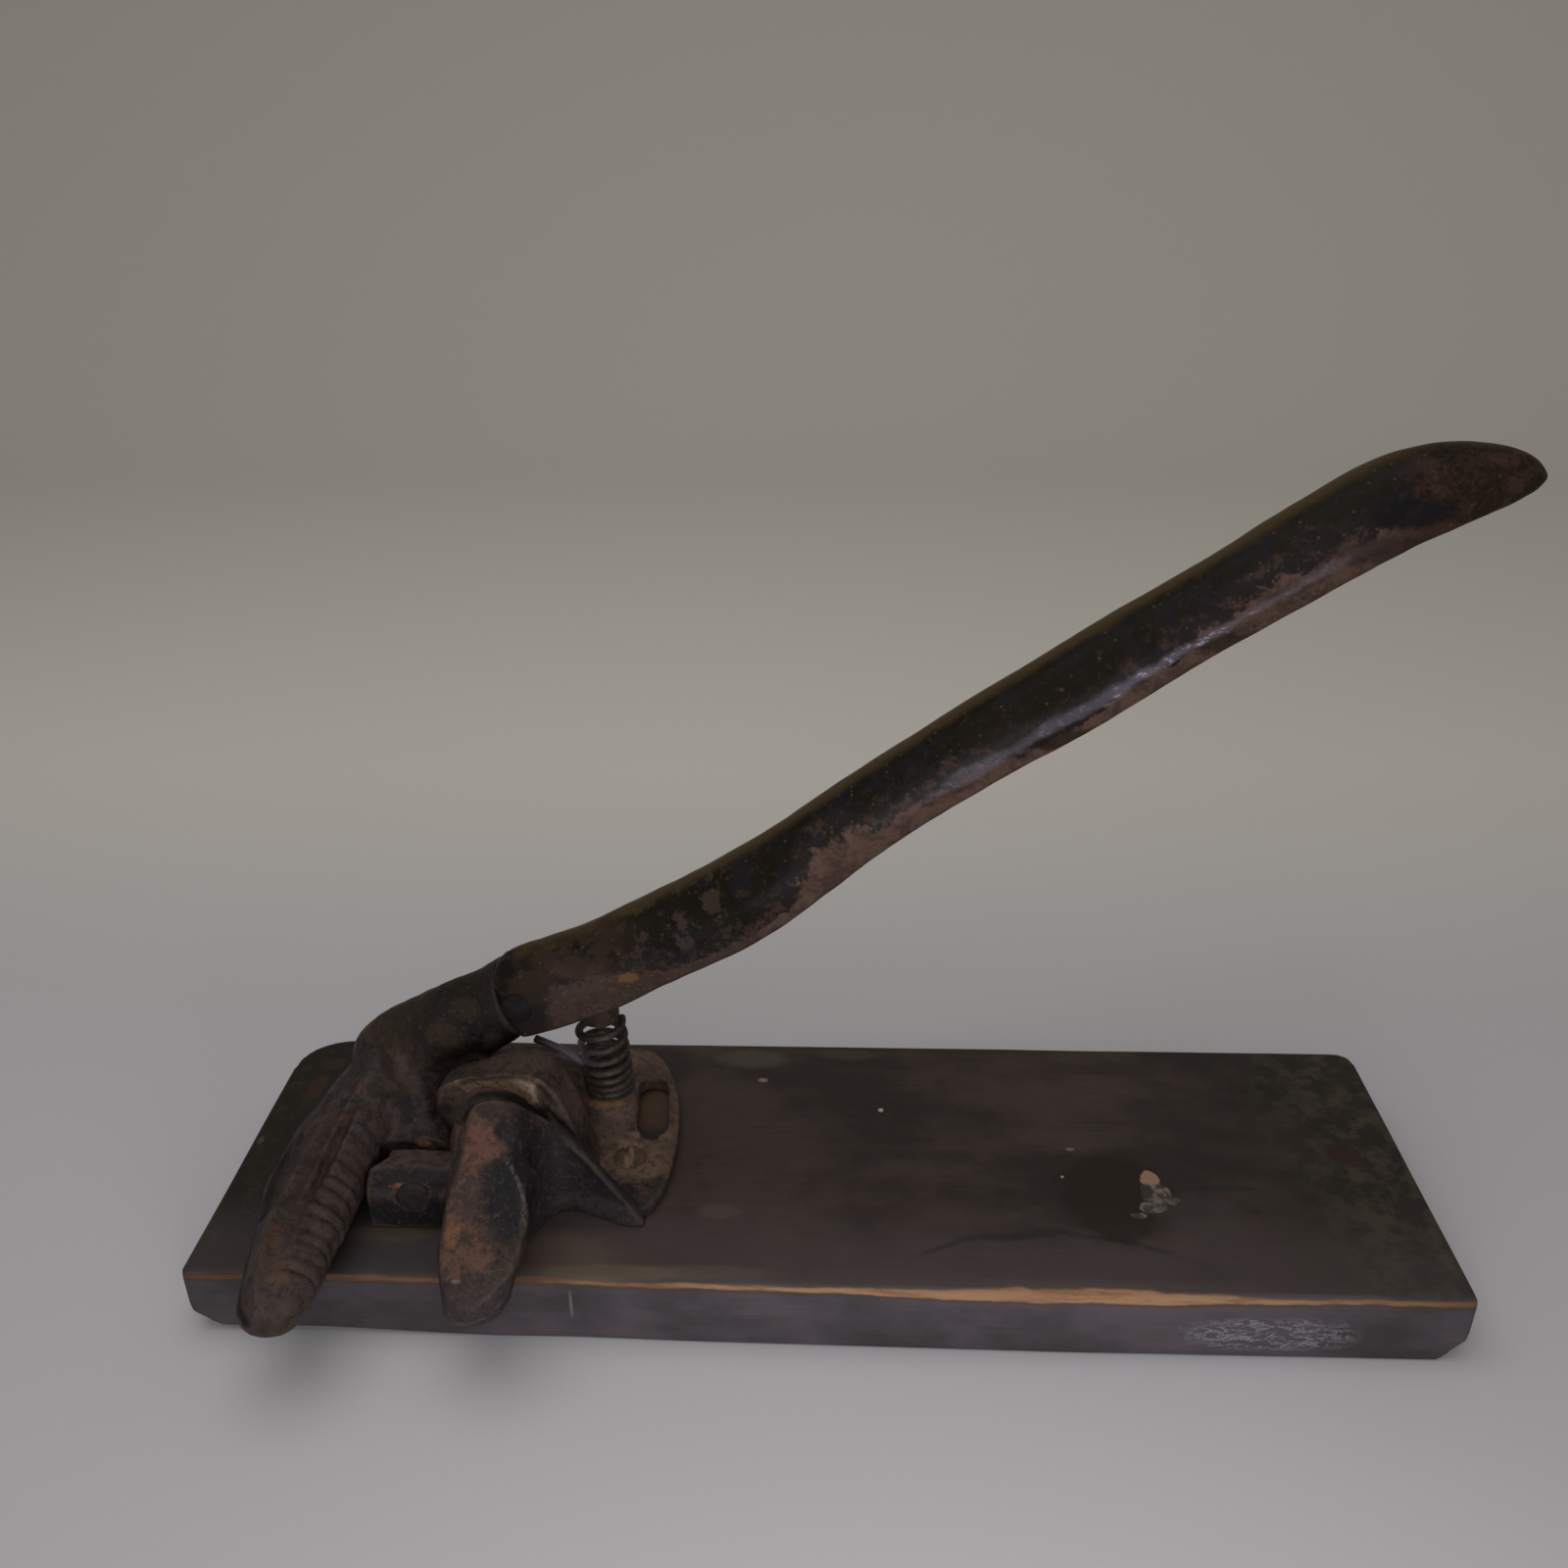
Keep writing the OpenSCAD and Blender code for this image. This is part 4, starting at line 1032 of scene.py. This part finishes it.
# %% Colour the lever
iron, colour, coarse, fine = old_iron(
    "old_lever_iron", hue(33, 27, 24), hue(52, 39, 33), hue(45, 39, 41), hue(64, 52, 48), hue(38, 28, 25))
colour = iron.touch(colour, [
    ((-104, 50, 48), (22, 14, 11), (22, 19, 15), 0.88),
    ((-104, 60, 58), (24, 16, 8), (21, 17, 10), 0.95), ((-94, 52, 55), (5, 18, 18), (26, 22, 18), 0.85),
    ((-121, 60, 48), (9, 9, 5), (40, 31, 22), 0.85), ((-111, 48, 40), (8, 5, 6), (30, 26, 23), 0.7),
    ((-126, 62, 42), (12, 12, 6), (44, 34, 25), 0.8), ((-134, 60, 34), (5, 8, 5), (58, 44, 36), 0.6),
    ((-126, 46, 32), (4, 4, 4), (52, 37, 29), 0.8), ((-131, 46, 27), (3, 5, 5), (42, 33, 25), 0.8),
    # The first spot on the next line and the long strip at (-152, 16, 14) darken the flange's outer edge:
    # painted shade where the flange meets the board.
    ((-150, 44, 22), (4, 12, 5), (34, 27, 23), 0.8), ((-152, 2, 13), (3, 14, 5), (44, 34, 32), 0.6),
    ((-89, 48, 55), (9, 5, 7), (30, 28, 30), 0.85), ((-124, 48, 37), (7, 6, 5), (46, 33, 23), 0.7),
    ((-122, 44, 24), (4, 3, 3), (27, 27, 29), 0.9), ((-128, 38, 21), (5, 5, 7), (66, 54, 51), 0.8),
    ((-123.5, 47, 34), (2.2, 3, 5), (60, 51, 51), 0.8), ((-119, 45, 26), (2, 4, 5), (60, 50, 49), 0.8),
    ((-116, 35.4, 16.2), (2.2, 2, 1.1), (150, 98, 54), 0.75),
    ((-152, 16, 14), (5, 40, 8), (39, 31, 30), 0.6), ((-142, 18, 22), (3, 34, 6), (46, 33, 29), 0.6),
    ((-138.5, 14, 19), (1.4, 22, 9), (38, 27, 24), 0.5),
    ((-132, 12, 16), (5, 26, 10), (64, 53, 48), 0.55),
    ((-143, -16, 12), (13, 13, 13), (66, 54, 50), 0.6), ((-145, -8, 17), (3, 9, 3), (74, 52, 41), 0.7),
    ((-140, -14, 15), (3, 6, 3), (80, 60, 46), 0.6), ((-152, -14, 9), (3, 9, 6), (50, 40, 42), 0.7),
    ((-99, 47.5, 46), (3.5, 5, 4.5), (17, 18, 22), 0.85),
    ((-110, 48, 45), (6, 5, 4), (56, 43, 33), 0.7), ((-95.5, 47.5, 42), (3, 4, 5), (60, 50, 43), 0.7),
    ((-104, 50, 53), (5, 5, 3), (46, 36, 27), 0.7)])
dots = iron.times(iron.specks(1.6, 0.4, seed=5), iron.patch((-106, 50, 49), (6, 8, 4), 0.4, 3, 0.4))
colour = iron.lay(colour, dots, 0.7, (72, 60, 44))
colour = weathered(iron, colour, fine, hue(66, 54, 49), hue(27, 22, 20))
iron.relief((coarse, 0.42), (iron.noise(3, 5, 0.65, seed=17), 0.24), (fine, 0.16))
lever_iron = iron.done(colour, iron.calc("MULTIPLY_ADD", coarse, 0.3, 0.38))
dress(lever, lever_iron, "lever", "lever_casting", "lever_casting")

# %% [markdown]
# ## The handle
#
# The handle is a long sleeve, pressed round and left open underneath, that bends twice
# and ends in a soft leaf-shaped tip. It is skinned over many rings. Its wear follows the
# hand: the paint is gone along the lower half and at the tip. So each point of the skin
# remembers how far round the sleeve it lies, and a short table says where paint ends.

# %% Skin the handle
# Each row: x, z, half height, half width, and how open the channel below is.
HANDLE_ROWS = [
    [-91, 52.0, 11.9, 12.0, 1], [-89, 52.8, 12.5, 12.4, 1], [-83, 55.2, 13.0, 12.6, 1],
    [-74, 58.6, 13.0, 12.4, 1],
    [-63, 63.4, 12.9, 12.1, 1], [-52, 69.5, 12.8, 11.8, 1], [-40, 76.2, 12.9, 11.6, 1],
    [-28, 82.9, 12.9, 11.5, 1], [-16, 91.0, 12.5, 11.5, 1], [-4, 100.6, 11.6, 11.5, 1],
    [8, 110.6, 11.0, 11.5, 1], [24, 122.6, 10.7, 11.5, 1], [44, 136.8, 11.0, 11.5, 1],
    [64, 150.0, 11.4, 11.5, 1], [84, 164.2, 11.1, 11.5, 1], [104, 177.5, 10.8, 11.5, 1],
    [122, 189.4, 11.4, 11.5, 1], [136, 198.1, 11.9, 11.2, 0.9], [147, 202.2, 11.0, 10.6, 0.7],
    [156, 204.3, 9.0, 9.6, 0.4], [163, 205.3, 6.8, 8.0, 0.15], [168, 205.4, 4.2, 5.6, 0.05],
    [171, 205.2, 1.4, 2.2, 0]]
WALL = 3.5
RING_STEP = 0.125
# The sleeve's outer side runs round from the first angle to the last, in steps of degrees.
ROUND_FROM, ROUND_TO, ROUND_STEP = -30, 210, 6


def sleeve_ring(x, z, h, w, opening, tilt):
    gap_w, gap_h = w - WALL, h - WALL * 1.3
    round_turns = np.arange(ROUND_FROM, ROUND_TO + 1, ROUND_STEP)
    outer = [(w * math.cos(math.radians(a)), h * math.sin(math.radians(a))) for a in round_turns]
    lip = [(-w * 0.86, -h * 0.66), (-w * 0.80, -h * 0.77), (-gap_w * 0.99, -h * 0.77), (-gap_w, -h * 0.5),
           (-gap_w, -h * 0.2), (-gap_w * 0.72, gap_h * 0.75), (-gap_w * 0.3, gap_h)]
    channel = lip + [(-u, v) for u, v in reversed(lip)]
    turns = np.linspace(214, 326, len(channel))
    closed = [(w * math.cos(math.radians(a)), h * math.sin(math.radians(a))) for a in turns]
    below = np.array(channel) * opening + np.array(closed) * (1 - opening)
    ring = np.concatenate([outer, below])
    return [(x - v * math.sin(tilt), LEVER_Y + u, z + v * math.cos(tilt)) for u, v in ring]


def handle_tilt(s):
    a, b = row(HANDLE_ROWS, max(s - 0.3, 0)), row(HANDLE_ROWS, min(s + 0.3, len(HANDLE_ROWS) - 1))
    return math.atan2(b[1] - a[1], b[0] - a[0])


rings = []
for s in np.arange(0, len(HANDLE_ROWS) - 1 + 1e-6, RING_STEP):
    p = row(HANDLE_ROWS, s)
    rings.append(sleeve_ring(p[0], p[1], p[2], p[3], max(p[4], 0), handle_tilt(s)))
LUG_X, LUG_Y = -66.8, 61.5
lug_foot = bar((LUG_X, LUG_Y, 42.6), (LUG_X, LUG_Y, 43.4), 5.4, 6.1)
lug_post = bar((LUG_X, LUG_Y, 43.4), (LUG_X, LUG_Y, 71), 6.1, 6.1)
handle = smooth_piece("handle_sleeve", [skinned(rings), lug_foot, lug_post])
co = to_mm(points_of(handle))
torn = np.array([noise.noise(Vector((y / 5, z / 5, 7.0))) for x, y, z in co])
torn += 0.5 * np.array([noise.noise(Vector((y / 2, z / 2, 3.0))) for x, y, z in co])
co[:, 0] += 1.6 * torn * np.clip((-83 - co[:, 0]) / 6, 0, 1)
set_points(handle, to_metres(co))
lump(handle, 26, 0.35, 12)
lump(handle, 5, 0.14, 13)
print("handle rings:", len(rings))

# %% Note the wear round the handle
# Each pair: x in millimetres, and the angle from the top at which the paint ends.
PAINT_ENDS = [
    (-90, 74), (-76, 66), (-60, 82), (-50, 108), (-40, 124), (-14, 128), (-4, 84), (2, 62), (8, 76),
    (14, 92), (42, 100), (60, 122), (85, 110), (95, 88), (112, 86), (137, 88), (150, 44), (171, -30)]
POINTS_ROUND = len(rings[0])
OUTER_ROUND = (ROUND_TO - ROUND_FROM) // ROUND_STEP + 1


def from_the_top(point_index):
    return abs(ROUND_FROM + ROUND_STEP * point_index - 90)


def paint_left(ring_index, point_index):
    x = row(HANDLE_ROWS, ring_index * RING_STEP)[0]
    border = np.interp(x, [p[0] for p in PAINT_ENDS], [p[1] for p in PAINT_ENDS])
    if point_index >= OUTER_ROUND:
        return 0.5 + (150 - border) / 150
    return 0.5 + (from_the_top(point_index) - border) / 150


def part_round(point_index):
    return from_the_top(point_index) / 180 if point_index < OUTER_ROUND else 1.0


wear_left = np.array([paint_left(i, j) for i in range(len(rings)) for j in range(POINTS_ROUND)])
way_round = np.array([part_round(j) for i in range(len(rings)) for j in range(POINTS_ROUND)])
on_lug = np.full(len(handle.data.vertices) - len(wear_left), 0.55)
note(handle, "wear", np.concatenate([wear_left, on_lug]))
note(handle, "round", np.concatenate([way_round, np.ones(len(on_lug))]))
print("paint ends at", PAINT_ENDS[0][1], "degrees by the rivet")

# %% Paint of the handle, with a painted highlight on its top edge
grip = Finish("worn_handle", roughness=0.4, specular=0.05)
x_mm = grip.axis("X")
broad = grip.noise(14, 4, 0.6, stretch=(1.6, 1, 1), seed=20)
coarse = grip.noise(6, 8, 0.72, seed=21)
fine = grip.noise(1.4, 6, 0.7, seed=22)
cloud = grip.noise(18, 4, 0.55, seed=23)
wear = grip.calc("MULTIPLY_ADD", coarse, 0.55, grip.attribute("wear"))
wear = grip.calc("MULTIPLY_ADD", broad, 0.4, wear)
wear = grip.calc("MULTIPLY_ADD", fine, 0.2, wear)
gone = grip.between(wear, 1.05, 1.09)
thin = grip.between(wear, 0.8, 0.98)
flecks = grip.between(grip.noise(2.6, 7, 0.72, seed=24), 0.56, 0.64)
black = grip.mix(grip.between(cloud, 0.35, 0.65), hue(20, 18, 12), hue(27, 23, 17))
black = grip.lay(black, flecks, 0.65, (54, 43, 34))
blue_black = grip.between(grip.noise(9, 6, 0.7, seed=30), 0.51, 0.57)
black = grip.lay(black, blue_black, 0.6, (27, 26, 31))
near_hinge = grip.fading(x_mm, -34, -10)
old_chips = grip.times(near_hinge, grip.between(grip.noise(7, 7, 0.72, seed=34), 0.53, 0.57))
black = grip.lay(black, old_chips, 0.7, (62, 49, 45))
chips = grip.times(grip.between(grip.noise(4, 7, 0.72, seed=25), 0.5, 0.58), thin)
black = grip.lay(black, thin, 0.6, (40, 35, 36))
black = grip.lay(black, chips, 0.75, (66, 50, 45))
from_top = grip.calc("MULTIPLY_ADD", coarse, 0.12, grip.attribute("round"))
# Painted highlight: the sleeve's top edge is laid a lighter olive brown, as lit from above.
top_edge_highlight = grip.fading(from_top, 0.09, 0.2)
black = grip.lay(black, top_edge_highlight, 0.9, (66, 52, 31))
sleeve_part = grip.fading(x_mm, -66, -46)
black = grip.mix(grip.times(sleeve_part, grip.between(coarse, 0.4, 0.56)), black, hue(48, 37, 29))
print("paint laid")

# %% Rust of the handle, with painted shade at the sleeve's end
brown = grip.mix(grip.between(coarse, 0.44, 0.56), hue(66, 50, 44), hue(84, 65, 57))
left_part = grip.fading(x_mm, -26, -6)
brown = grip.lay(brown, left_part, 0.7, (54, 44, 41))
brown = grip.lay(brown, grip.between(fine, 0.53, 0.66), 0.5, (100, 80, 70))
brown = grip.lay(brown, grip.specks(2.5, 0.3, seed=26), 0.6, (44, 33, 28))
colour = grip.mix(gone, black, brown)
tip = grip.between(x_mm, 128, 146)
tip_tone = grip.mix(grip.between(fine, 0.45, 0.6), hue(24, 18, 10), hue(46, 33, 23))
tip_tone = grip.mix(grip.between(coarse, 0.5, 0.6), tip_tone, hue(54, 36, 27))
colour = grip.mix(grip.times(tip, 0.85), colour, tip_tone)
colour = grip.touch(colour, [
    ((-55, 48.4, 66), (2.8, 3, 1.7), (110, 80, 44), 0.6),
    ((-84, 48, 48), (4, 4, 3), (92, 66, 46), 0.45), ((60, 50, 140), (28, 5, 3), (30, 25, 20), 0.75),
    ((100, 51, 166), (12, 4, 3), (30, 25, 20), 0.7), ((-88, 49, 60), (5, 4, 5), (40, 32, 27), 0.7),
    ((-83, 48, 57), (5, 3, 4), (27, 26, 26), 0.8), ((-91, 50, 52), (4, 5, 5), (25, 23, 22), 0.8),
    ((-70, 50, 68), (8, 4, 3), (62, 47, 40), 0.5), ((-92, 54, 64), (5, 3, 2), (28, 22, 17), 0.8),
    ((9.7, 49, 124), (1.1, 2, 1.3), (160, 136, 120), 0.8),
    ((-38, 49, 89), (2, 2, 1.2), (110, 96, 84), 0.5),
    # The first spot on the next line darkens the sleeve's open end: painted shade where the sleeve meets the
    # lever's root.
    ((-91.5, 58, 52), (3, 18, 18), (22, 19, 17), 0.97), ((-85, 47, 50), (7, 6, 8), (27, 25, 27), 0.85),
    ((-84, 48, 61), (7, 6, 4), (42, 33, 27), 0.75), ((-84, 49, 66), (5, 3, 3), (46, 34, 27), 0.7),
    ((146, 54, 194), (9, 9, 3), (66, 48, 40), 0.6), ((137, 49, 199), (10, 5, 4), (22, 22, 25), 0.85),
    ((134, 50, 190), (15, 6, 3.5), (42, 34, 34), 0.65)], 0.8)
dots = grip.times(grip.specks(1.8, 0.14, seed=27), 0.35)
colour = grip.mix(dots, colour, hue(92, 80, 66))
print("rust laid")

# %% Bare metal and a painted reflection where the hand slides
centre = grip.calc("MULTIPLY_ADD", x_mm, 0.0002, 0.545)
off_band = grip.calc("ABSOLUTE", grip.calc("SUBTRACT", grip.attribute("round"), centre))
width = grip.calc("MULTIPLY_ADD", grip.noise(11, 5, 0.65, stretch=(2.4, 1, 1), seed=29), -0.2, 0.15)
off_band = grip.calc("SUBTRACT", grip.calc("MULTIPLY_ADD", coarse, 0.06, off_band), width)
soft_part = grip.fading(x_mm, 48, 66)
off_band = grip.calc("MULTIPLY_ADD", soft_part, -0.03, off_band)
bare_and_reflection_band = grip.fading(off_band, -0.03, 0.04)
ends = grip.times(grip.between(x_mm, 8, 46), grip.fading(x_mm, 108, 136))
bare_and_reflection_band = grip.times(bare_and_reflection_band, ends)
sparkle = grip.between(grip.noise(1.5, 7, 0.78, stretch=(2, 1, 1), seed=28), 0.54, 0.6)
hot = grip.times(grip.between(x_mm, 66, 82), grip.fading(x_mm, 98, 112))
shine = grip.calc("MULTIPLY_ADD", hot, 0.3, 0.45)
# Bare metal where the hand slides, laid a lighter blue grey as a painted reflection of the pale floor,
# strongest on one stretch of the handle.
colour = grip.lay(colour, bare_and_reflection_band, shine, (104, 101, 112))
# Painted glints: small near white spots on the bare strip.
glint = grip.times(grip.times(bare_and_reflection_band, sparkle), grip.calc("MULTIPLY_ADD", hot, 0.6, 0.12))
colour = grip.mix(glint, colour, hue(200, 192, 204))
rough = grip.mix(gone, (0.34, 0.34, 0.34, 1), (0.55, 0.55, 0.55, 1))
rough = grip.mix(bare_and_reflection_band, rough, (0.24, 0.24, 0.24, 1))
grip.relief((broad, 0.2), (coarse, 0.14), (fine, 0.09), (flecks, -0.03))
dress(handle, grip.done(colour, rough), "lever", "handle", "handle")

# %% [markdown]
# ## Rivet, pin, screws
#
# The small fasteners are turned shapes. Each is spun from a short profile with its edges
# already rounded. The rivet's hammered heads are slightly uneven, the screws have a slot
# cut across, and the pin ends in two flat upset heads.

# %% Spin a profile
def spun(profile, centre, along, sides=48):
    """Spins (radius, height) pairs round a line through the centre."""
    along = np.array(along, float)
    aside = np.array([1.0, 0, 0]) if abs(along[0]) < 0.9 else np.array([0, 1.0, 0])
    over = np.cross(along, aside)
    rings_spun = []
    turns = [2 * math.pi * k / sides for k in range(sides)]
    circle = [math.cos(a) * aside + math.sin(a) * over for a in turns]
    for radius, height in profile:
        middle = np.array(centre) + along * height
        rings_spun.append([middle + radius * spoke for spoke in circle])
    return skinned(rings_spun)


def rounded(profile, times=2):
    points = np.asarray(profile, float)
    for _ in range(times):
        inner = np.stack([0.75 * points[:-1] + 0.25 * points[1:], 0.25 * points[:-1] + 0.75 * points[1:]], 1)
        points = np.concatenate([points[:1], inner.reshape(-1, 2), points[-1:]])
    return points


def two_tones(name, roughness, specular, grain, seed, span, first, second):
    """A finish whose two tones wander into each other; gives its noise and its colour too."""
    finish = Finish(name, roughness, specular)
    wander = finish.noise(grain, 6, 0.7, seed=seed)
    return finish, wander, finish.mix(finish.between(wander, *span), hue(*first), hue(*second))


print("turned shapes ready")

# %% Rivet through sleeve and tang
RIVET_X, RIVET_Z, RIVET_R = -87.5, 55.0, 2.5
HEAD = [(4.6, 0.0), (4.6, 0.8), (4.0, 1.7), (2.4, 2.6), (0.02, 3.1)]
half = 11.22
side = rounded(HEAD)
near_head = [(r, -half - h) for r, h in side[::-1]]
far_head = [(r, half + h) for r, h in side]
whole = near_head + [(RIVET_R, -half), (RIVET_R, half)] + far_head
rivet = smooth_piece("handle_rivet_skin", [spun(whole, (RIVET_X, LEVER_Y, RIVET_Z), (0, 1, 0))])
lump(rivet, 3, 0.15, 15)
head_finish, dark, tone = two_tones(
    "hammered_rivet", 0.6, 0.06, 2, 31, (0.4, 0.62), (20, 20, 22), (33, 28, 27))
head_finish.relief((dark, 0.12))
dress(rivet, head_finish.done(tone), "lever", "handle_rivet", "handle_rivet")

# %% Pivot pin
PIN = [(0.02, 18.4), (3.6, 18.4), (5.0, 18.9), (5.0, 20.4), (3.5, 20.4)]
profile = rounded(PIN, 1)
profile = np.concatenate([profile, [(3.5, 89.1), (5.0, 89.1), (5.0, 90.4), (4.4, 91.1), (0.02, 91.1)]])
pin = smooth_piece("pivot_pin_skin", [spun(profile, (PIVOT[0], 0, PIVOT[1]), (0, 1, 0))])
pin_finish, dark, tone = two_tones(
    "dull_steel", 0.55, 0.12, 2.4, 33, (0.38, 0.6), (32, 31, 35), (50, 42, 40))
pin_finish.relief((dark, 0.1))
dress(pin, pin_finish.done(tone), "base", "pivot_pin", "pivot_pin")

# %% Slotted screws
def screw(name, x, y, turn):
    head = [(5.2, 1.0), (5.4, 1.4), (5.4, 2.8), (5.0, 3.3), (3.2, 3.5), (0.02, 3.5)]
    top = rounded(head)
    profile = np.concatenate([[(2.2, -14), (2.2, 1.0)], top])
    points, faces = join_forms([spun(profile, (x, y, 0), (0, 0, 1))])
    item = new_piece(name, points, faces)
    outline = [(-8, -0.55), (8, -0.55), (8, 0.55), (-8, 0.55)]
    blade = new_piece("blade", *join_forms([slab(outline, 2.7, 6, 2)]))
    co = to_mm(points_of(blade))
    c, s = math.cos(math.radians(turn)), math.sin(math.radians(turn))
    turned = np.stack([x + c * co[:, 0] - s * co[:, 1], y + s * co[:, 0] + c * co[:, 1], co[:, 2]], 1)
    set_points(blade, to_metres(turned))
    cut = item.modifiers.new("slot", "BOOLEAN")
    cut.operation = "DIFFERENCE"
    cut.solver = "EXACT"
    cut.object = blade
    bake(item)
    bpy.data.objects.remove(blade)
    return item


screw_finish, dark, tone = two_tones(
    "rusty_screw", 0.6, 0.4, 2.2, 35, (0.4, 0.62), (62, 50, 43), (88, 70, 56))
tone = screw_finish.touch(tone, [((-58, 45.6, 3), (1.3, 4.6, 2), (132, 106, 74), 0.85)], 0.2)
screw_finish.relief((dark, 0.15))
screw_material = screw_finish.done(tone)
# Each screw: x, y and the turn of its slot in degrees.
SCREWS = [(-58, 45.6, -68), (-134, 87, 20), (-92, 87, 75)]
for k, (x, y, turn) in enumerate(SCREWS):
    item = screw(f"screw_{k + 1}", x, y, turn)
    nodes = ("base_screws",) if k == 0 else ()
    dress(item, screw_material, "base", "base_screws", *nodes)
print("screws driven")

# %% [markdown]
# ## The return spring
#
# A coil of round wire stands on a seat of the base and pushes up under the handle. The
# coil is one tube along one path, closer at the foot and more open towards the top, and
# the straight tail is a second tube.

# %% Wind the spring
SEAT = np.array((-66.0, 66.0, 14.65))
LUG = np.array((-66.8, 61.5, 41.25))
WIRE_R, COIL_R, TURNS = 1.25, 6.55, 6.5


def coil_path(steps=420):
    path = []
    for k in range(steps + 1):
        t = k / steps
        a = math.radians(360 * TURNS * t + 200)
        centre = SEAT + (LUG - SEAT) * (0.55 * t + 0.45 * t * t)
        path.append(centre + COIL_R * np.array([math.cos(a), math.sin(a), 0]))
    return np.array(path)


def tube(path, radius, sides=14):
    tangent = np.gradient(path, axis=0)
    tangent /= np.linalg.norm(tangent, axis=1)[:, None]
    aside = np.cross(tangent, [0.0, 0.0, 1.0])
    aside /= np.linalg.norm(aside, axis=1)[:, None]
    over = np.cross(tangent, aside)
    turns = np.linspace(0, 2 * math.pi, sides, endpoint=False)
    return skinned([
        [p + radius * (math.cos(a) * u + math.sin(a) * v) for a in turns]
        for p, u, v in zip(path, aside, over)])


tail = np.linspace((-72.6, 62.3, 25.2), (-85.6, 57.5, 37.6), 24)
tail[:, 2] += 0.7 * np.sin(np.linspace(0, math.pi, 24))
spring = smooth_piece("return_spring_coil", [tube(coil_path(), WIRE_R), tube(tail, WIRE_R * 0.95)])
coil_finish, dark, tone = two_tones(
    "dark_spring", 0.5, 0.25, 2.5, 37, (0.42, 0.64), (40, 34, 32), (66, 54, 46))
# Painted highlight: the straight tail is laid a light grey along its length; it is also made glossier.
tone = coil_finish.touch(tone, [((-79, 60, 31.5), (9, 5, 8), (100, 93, 102), 0.9)], 0.1)
bright_tail = coil_finish.patch((-79, 60, 31.5), (9, 5, 8), 0.1, 4, 0.2)
tail_rough = coil_finish.mix(bright_tail, (0.5, 0.5, 0.5, 1), (0.18, 0.18, 0.18, 1))
coil_finish.relief((dark, 0.08))
spring.data.materials.append(coil_finish.done(tone, tail_rough))
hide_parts("return_spring")
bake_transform(spring)
print("spring:", TURNS, "turns,", len(spring.data.vertices), "points")
